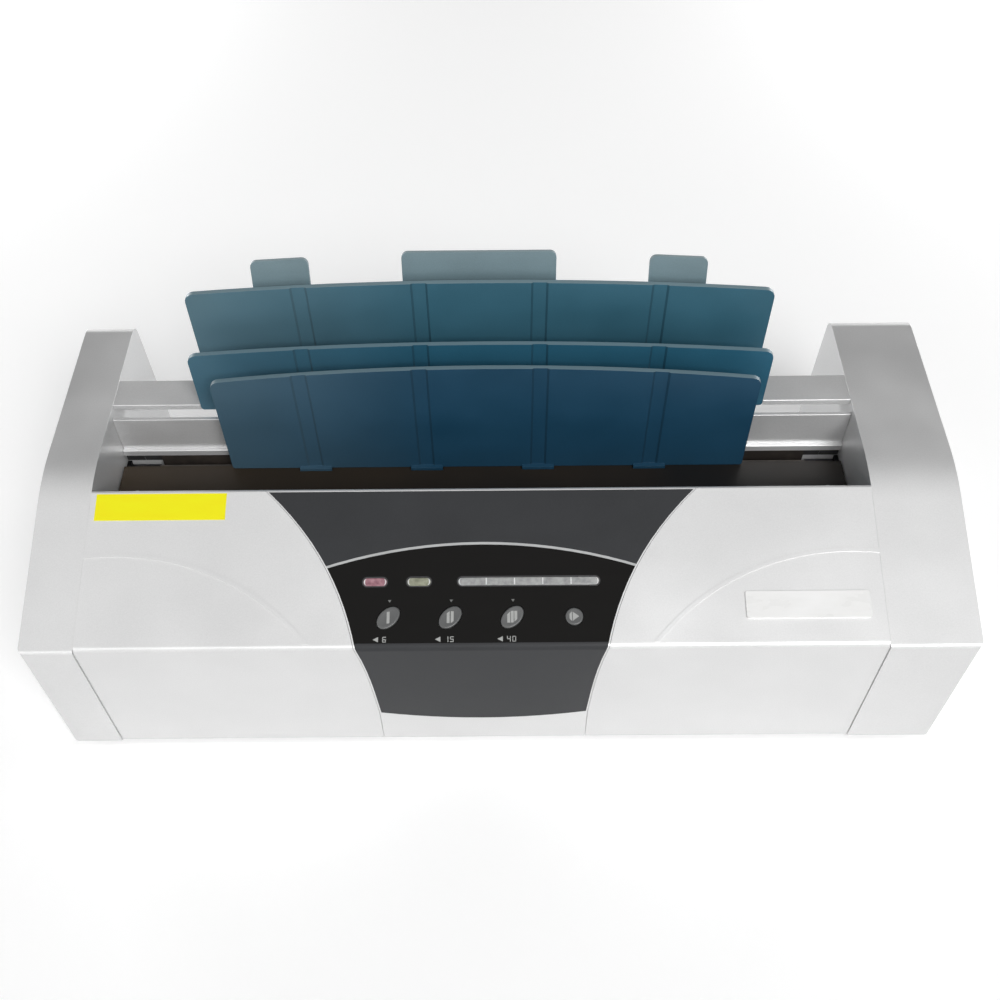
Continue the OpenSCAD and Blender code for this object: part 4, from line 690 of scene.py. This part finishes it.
# Painted highlights: a bright sliver on each round end of each lens.
for node, (across, width, finish) in LENSES.items():
    middle = width / 2 - LENS_H / 2
    painted_highlights = [highlight_crescent(side * middle, side, LENS_H / 2 - 0.3, 0.55) for side in (-1, 1)]
    slope_marks(node + "_ends", painted_highlights, across, LENS_UP, LENS_PROUD + 0.02, node, RIB_AND_HIGHLIGHT, 0.08)

# %% [markdown]
# ## Print on the panel
# Only generic marks are printed: a small arrow over each thickness button, and under it a pointer
# and a thickness in millimetres. Each digit is drawn from the seven strokes of a display digit.
# The places for words are left bare, and so are the yellow sticker and the name strip.

# %% Print the pointers and the thicknesses
STROKES = {"0": "abcdef", "1": "bc", "4": "fgbc", "5": "afgcd", "6": "afgedc"}
DIGIT_W, DIGIT_H, STROKE = 1.3, 2.2, 0.36


def digit(character, x):
    """The strokes of one digit whose middle is at x, as thin bars."""
    half_w, half_h = DIGIT_W / 2, DIGIT_H / 2
    places = {"a": (0, half_h, 1), "b": (half_w, half_h / 2, 0), "c": (half_w, -half_h / 2, 0),
              "d": (0, -half_h, 1), "e": (-half_w, -half_h / 2, 0), "f": (-half_w, half_h / 2, 0),
              "g": (0, 0, 1)}
    for letter in STROKES[character]:
        dx, dy, level = places[letter]
        size = (DIGIT_W + STROKE, STROKE) if level else (STROKE, half_h + STROKE)
        yield bar(x + dx, *size, dy)


PRINT_OUT, PRINT_UP, ARROW_UP = 0.02, 4.3, 21.9
POINTER = [(1.2, -1.2), (1.2, 1.2), (-1.2, 0)]
ARROW = [(0.8, 0.6), (-0.8, 0.6), (0, -0.6)]
for place, number in enumerate(("6", "15", "40")):
    across = (place - 1.5) * BUTTON_PITCH
    spacing = DIGIT_W + 3 * STROKE
    strokes = [stroke for i, character in enumerate(number) for stroke in digit(character, spacing * i)]
    slope_marks(f"thickness_{number}", strokes, across - 1.6, PRINT_UP, PRINT_OUT, "display_window")
    slope_marks(f"pointer_{number}", [POINTER], across - 5.5, PRINT_UP, PRINT_OUT, "display_window")
    slope_marks(f"arrow_{number}", [ARROW], across + 0.4, ARROW_UP, PRINT_OUT, "display_window", DIM_INK)

# %% [markdown]
# ## Screws
# Every screw is a pan head with a cross recess on a plain shank. The recess is a ring in the
# shape of a plus sign, so the head stays one closed skin.

# %% Make the screws
PLUS_TURN = 2


def plus_sign(reach, arm, count=4):
    """A plus sign whose arms reach from the middle and are arm wide, with count points to an edge."""
    half = arm / 2
    corners = [(reach, -half), (reach, half), (half, half), (half, reach), (-half, reach),
               (-half, half), (-reach, half), (-reach, -half), (-half, -half), (-half, -reach),
               (half, -reach), (half, -half)]
    return [tuple(a + (b - a) * i / count for a, b in zip(start, end))
            for start, end in zip(corners, corners[1:] + corners[:1]) for i in range(count)]


def screw(shape, seat, outward, head_r, head_h, shank_r, shank_l):
    """Adds a screw whose head sits at a point, in metres, and points outward."""
    turn = Vector((0, 0, 1)).rotation_difference(outward).to_matrix()

    def ring(outline, height):
        return [seat + turn @ (Vector((x, y, height)) * MM) for x, y in outline]

    edge = min(0.35 * head_h, 0.25 * head_r)
    rings = [ring(circle(0.7 * shank_r), -shank_l), ring(circle(shank_r), -shank_l + 0.4),
             ring(circle(shank_r), 0), ring(circle(head_r), 0), ring(circle(head_r), head_h - edge),
             ring(circle(head_r - 0.3 * edge), head_h - 0.3 * edge), ring(circle(head_r - edge), head_h),
             ring(circle(0.72 * head_r), head_h), ring(plus_sign(0.55 * head_r, 0.24 * head_r), head_h),
             ring(plus_sign(0.4 * head_r, 0.18 * head_r), 0.35 * head_h)]
    rings[-2:] = [points[PLUS_TURN:] + points[:PLUS_TURN] for points in rings[-2:]]
    loft(shape, rings)


def screws(name, node, places):
    shape = bmesh.new()
    for seat, outward, *sizes in places:
        screw(shape, Vector(seat) * MM, Vector(outward), *sizes)
    make_piece(name, shape, SCREW, node)


MID_X, LEFT_MID, RIGHT_MID = -8.35, -202.75, 194.4
RACK_SIZES, CLAMP_SIZES, HOUSING_SIZES = (1.6, 1.0, 1.0, 7.3), (2.6, 1.2, 1.5, 6.5), (2.8, 1.4, 1.5, 7.0)
FLUTES = [MID_X + offset for offset in (-84, -28, 28, 84)]
RACK_FRONT, RACK_BACK, DECK_TOP, BASE_UNDER = (31.4, 112.5), (52.3, 104.8), 84, 4.6
HOUSING_Y, COVER_X, COVER_Y = (-62, 62), (-184, 167.3), (-73.92, 14)
CLAMP_X, CLAMP_Y = (-180, 163.3), (-16.1, -2.1)
BRACKET_X, BRACKET_SPOTS = 189.8, ((32.1, 40), (14.6, 57.5))
screws("rack_cross_screws", "rack_screws",
       [((x, *RACK_FRONT), (0, -1, 0), *RACK_SIZES) for x in FLUTES]
       + [((x, *RACK_BACK), (0, 1, 0), *RACK_SIZES) for x in FLUTES])
screws("clamp_cross_screws", "clamp_screws",
       [((x, y, DECK_TOP), (0, 0, 1), *CLAMP_SIZES) for x in CLAMP_X for y in CLAMP_Y])
screws("housing_cross_screws", "housing_screws",
       [((x, y, BASE_UNDER), (0, 0, -1), *HOUSING_SIZES) for x in (LEFT_MID, RIGHT_MID) for y in HOUSING_Y]
       + [((x, y, BASE_UNDER), (0, 0, -1), *HOUSING_SIZES) for x in COVER_X for y in COVER_Y]
       + [((BRACKET_X, *spot), (-1, 0, 0), *HOUSING_SIZES) for spot in BRACKET_SPOTS])

# %% [markdown]
# ## Feet and mains parts
# Each rubber foot is turned: a chamfered pad with a shallow cup in its underside, which grips
# the table. The inlet's three blades are brass. They stand on the rear face, which leans.

# %% Make the feet
FOOT_R, FOOT_H, FOOT_Y = 8.0, 3.0, 76.0
shape = bmesh.new()
profile = [(FOOT_R - 0.2, FOOT_H), (FOOT_R, FOOT_H - 0.2), (FOOT_R - 0.1, 0.9), (FOOT_R - 0.4, 0.3),
           (FOOT_R - 1.0, 0.0), (5.2, 0.0), (4.9, 0.3), (4.6, 0.6), (2.0, 0.7)]
for x in (LEFT_MID, RIGHT_MID):
    for y in (-FOOT_Y, FOOT_Y):
        loft(shape, [[Vector((x + u, y + v, height)) * MM for u, v in circle(radius)]
                     for radius, height in profile])
make_piece("turned_feet", shape, RUBBER, "rubber_feet")

# %% Make the blades of the inlet
REAR_LEAN, REAR_FOOT_Y = math.atan(6.2 / 111.6), 95


def on_rear(across, out, up, height):
    """A point of the leaning rear face: millimetres right of the inlet, out of the face and up it."""
    foot = Vector((RIGHT_MID, REAR_FOOT_Y - (height - FOOT_H) * math.tan(REAR_LEAN), height))
    return (foot + Matrix.Rotation(REAR_LEAN, 3, "X") @ Vector((across, out, up))) * MM


def rear_block(shape, height, across, up, width, tall, low, high, taper=0.0):
    """A block on the rear face from depth low to high, whose outer end is taper smaller all round."""
    loft(shape, [[on_rear(across + i * (width / 2 - cut), out, up + j * (tall / 2 - cut), height)
                  for i, j in ((-1, -1), (1, -1), (1, 1), (-1, 1))]
                 for out, cut in ((low, 0), (high - taper, 0), (high, taper))])


INLET_Z, SWITCH_Z = 46, 80
BLADES, BLADE_COVER = ((-7, -2), (7, -2), (0, 2)), 0.06
BLADE_W, BLADE_H, BLADE_BACK, BLADE_FRONT = 2 + 2 * BLADE_COVER, 4 + 2 * BLADE_COVER, -14.45, -6.45
shape = bmesh.new()
for across, up in BLADES:
    rear_block(shape, INLET_Z, across, up, BLADE_W, BLADE_H, BLADE_BACK, BLADE_FRONT, 0.4)
make_piece("brass_blades", shape, BRASS, "power_inlet", stands=False)

# %% [markdown]
# ## Marks of the switch
# The rocker carries the two marks that every switch has, a bar for on and a ring for off. Its
# face is two halves that rise from its middle to its ends, and its lower end is pressed in. So
# the marks are drawn flat on a half, leant with it, tipped with the rocker and then leant with
# the rear face.

# %% Mark the rocker
PIVOT_Y, ROCKER_TIP = -1.0, math.radians(8)
HALF_Y, HALF_Z, HALF_LEAN = 2.1, 4.1, math.atan(1.0 / 8.2)


def on_rocker(across, out, along, half):
    """A point of the rocker's upper half (1) or lower half (-1), millimetres from its middle."""
    leant = Matrix.Rotation(-half * HALF_LEAN, 3, "X") @ Vector((across, out, along))
    tipped = Matrix.Rotation(-ROCKER_TIP, 3, "X") @ (Vector((0, HALF_Y, half * HALF_Z)) + leant)
    return on_rear(tipped.x, tipped.y + PIVOT_Y, tipped.z, SWITCH_Z)


RING_R, RING_W, RING_PARTS = 1.7, 0.5, 24
shape = bmesh.new()
marks = [(bar(0, 0.6, 3.6), 1)]
for i in range(RING_PARTS):
    turns = [2 * math.pi * k / RING_PARTS for k in (i, i + 1)]
    corners = [(RING_R, turns[0]), (RING_R, turns[1]), (RING_R - RING_W, turns[1]),
               (RING_R - RING_W, turns[0])]
    marks.append(([(r * math.cos(turn), r * math.sin(turn)) for r, turn in corners], -1))
for outline, half in marks:
    loft(shape, [[on_rocker(x, out, y, half) for x, y in outline] for out in (-INK_IN, 0.06)])
make_piece("rocker_marks", shape, WHITE_INK, "switch_rocker", stands=False)

# %% [markdown]
# ## Painted shade strips
# Black strips on the rear panel under its ledge, at the ends of the slot, are painted shade where
# the ledge shades the wall. Each strip is cut from two lengths.

# %% Make the painted shade strips
SHADE_STRIP_FRONT, SHADE_STRIP_BACK, SHADE_STRIP_LOW, SHADE_STRIP_TOP = 24.0, 24.5, 80.5, 85.9
SHADE_STRIP_ENDS, SHADE_STRIP_CUT = ((-190.3, -172), (154, 173.6)), 0.1
shape = bmesh.new()
for left, right in SHADE_STRIP_ENDS:
    middle = (left + right) / 2
    for low, high in ((left, middle - SHADE_STRIP_CUT), (middle + SHADE_STRIP_CUT, right)):
        outline = [(low, SHADE_STRIP_LOW), (high, SHADE_STRIP_LOW), (high, SHADE_STRIP_TOP), (low, SHADE_STRIP_TOP)]
        loft(shape, [[Vector((x, y, z)) * MM for x, z in outline] for y in (SHADE_STRIP_BACK, SHADE_STRIP_FRONT)])
make_piece("painted_shade_strips", shape, RUBBER, "rear_panel", stands=False)

# %% [markdown]
# ## Light, floor and background
# One large soft box stands in front and to the right, and a smaller one on the left fills in. A
# long one in front draws the bright line along the fold, and two low ones behind light the gap at
# the back. A dark card hangs over the back: the level tops mirror it, which parts them from the
# sloping front. The floor is pale and plain: the camera sees it as white, and only a faint shadow
# stays on it.

# %% Set the lamps
def soft_box(name, place, target, size, power):
    lamp = bpy.data.objects.new(name, bpy.data.lights.new(name, "AREA"))
    bpy.context.scene.collection.objects.link(lamp)
    lamp.data.shape, lamp.data.size, lamp.data.size_y = "RECTANGLE", *size
    lamp.data.energy = power
    lamp.location = Vector(place)
    lamp.rotation_euler = (Vector(target) - Vector(place)).to_track_quat("-Z", "Y").to_euler()


MIDDLE = (0, 0, 0.08)
soft_box("key_box", (0.65, -1.4, 1.7), MIDDLE, (0.9, 0.9), 30)
soft_box("front_box", (-0.2, -1.4, 1.5), MIDDLE, (2.0, 0.4), 4)
soft_box("left_box", (-1.4, -1.2, 0.8), MIDDLE, (0.8, 0.6), 4)
for side in (-1, 1):
    soft_box("gap_box", (0.75 * side, 0.75, 0.13), (-0.19 * side, 0.06, 0.07), (0.4, 0.2), 5)

# %% Make the background white to the eye and dim as a light
def seen_or_mirrored(tree):
    """1 for a ray from the camera, straight, through a clear piece or off a glossy one."""
    path = add_node(tree, "LightPath")
    camera_ray, clear_ray, glossy_ray = [path.outputs[f"Is {kind} Ray"]
                                         for kind in ("Camera", "Transmission", "Glossy")]
    seen = add_node(tree, "Math", links={0: camera_ray, 1: clear_ray}, operation="MAXIMUM")
    return add_node(tree, "Math", links={0: seen, 1: glossy_ray}, operation="MAXIMUM")


world = bpy.data.worlds.new("studio")
bpy.context.scene.world = world
world.use_nodes = True
tree = world.node_tree
dim = add_node(tree, "Background", {"Color": hex_colour("#ffffff"), "Strength": 0.25})
white = add_node(tree, "Background", {"Color": hex_colour("#ffffff"), "Strength": 1.0})
mixed = add_node(tree, "MixShader", links={0: seen_or_mirrored(tree), 1: dim, 2: white})
join(tree, tree.nodes["World Output"], {"Surface": mixed})

# %% Lay the floor and hang the dark card
def flat_sheet(name, half_x, half_y, finish):
    shape = bmesh.new()
    bmesh.ops.create_grid(shape, x_segments=1, y_segments=1, size=1)
    mesh = bpy.data.meshes.new(name)
    shape.to_mesh(mesh)
    shape.free()
    mesh.materials.append(finish)
    sheet = bpy.data.objects.new(name, mesh)
    bpy.context.scene.collection.objects.link(sheet)
    sheet.scale = (half_x, half_y, 1)
    return sheet


FLOOR_HALF, FLOOR_LIFT = 3.0, 0.22
paper, tree, shader, place = new_finish("pale_paper", "#f2f2f2", 0.9, 1.45)
shader.inputs["Emission Color"].default_value = hex_colour("#ffffff")
lift = add_node(tree, "Math", {1: FLOOR_LIFT}, {0: seen_or_mirrored(tree)}, operation="MULTIPLY")
join(tree, shader, {"Emission Strength": lift})
flat_sheet("floor", FLOOR_HALF, FLOOR_HALF, paper)

CARD_HALF, CARD_PLACE = (1.8, 0.65), (0, 1.13, 1.4)
velvet = new_finish("grey_velvet", "#1c1c1c", 0.9, 1.45)[0]
card = flat_sheet("dark_card", *CARD_HALF, velvet)
card.location = CARD_PLACE
card.rotation_euler = (Vector(MIDDLE) - card.location).to_track_quat("Z", "Y").to_euler()

bpy.context.scene.view_settings.view_transform = "Standard"
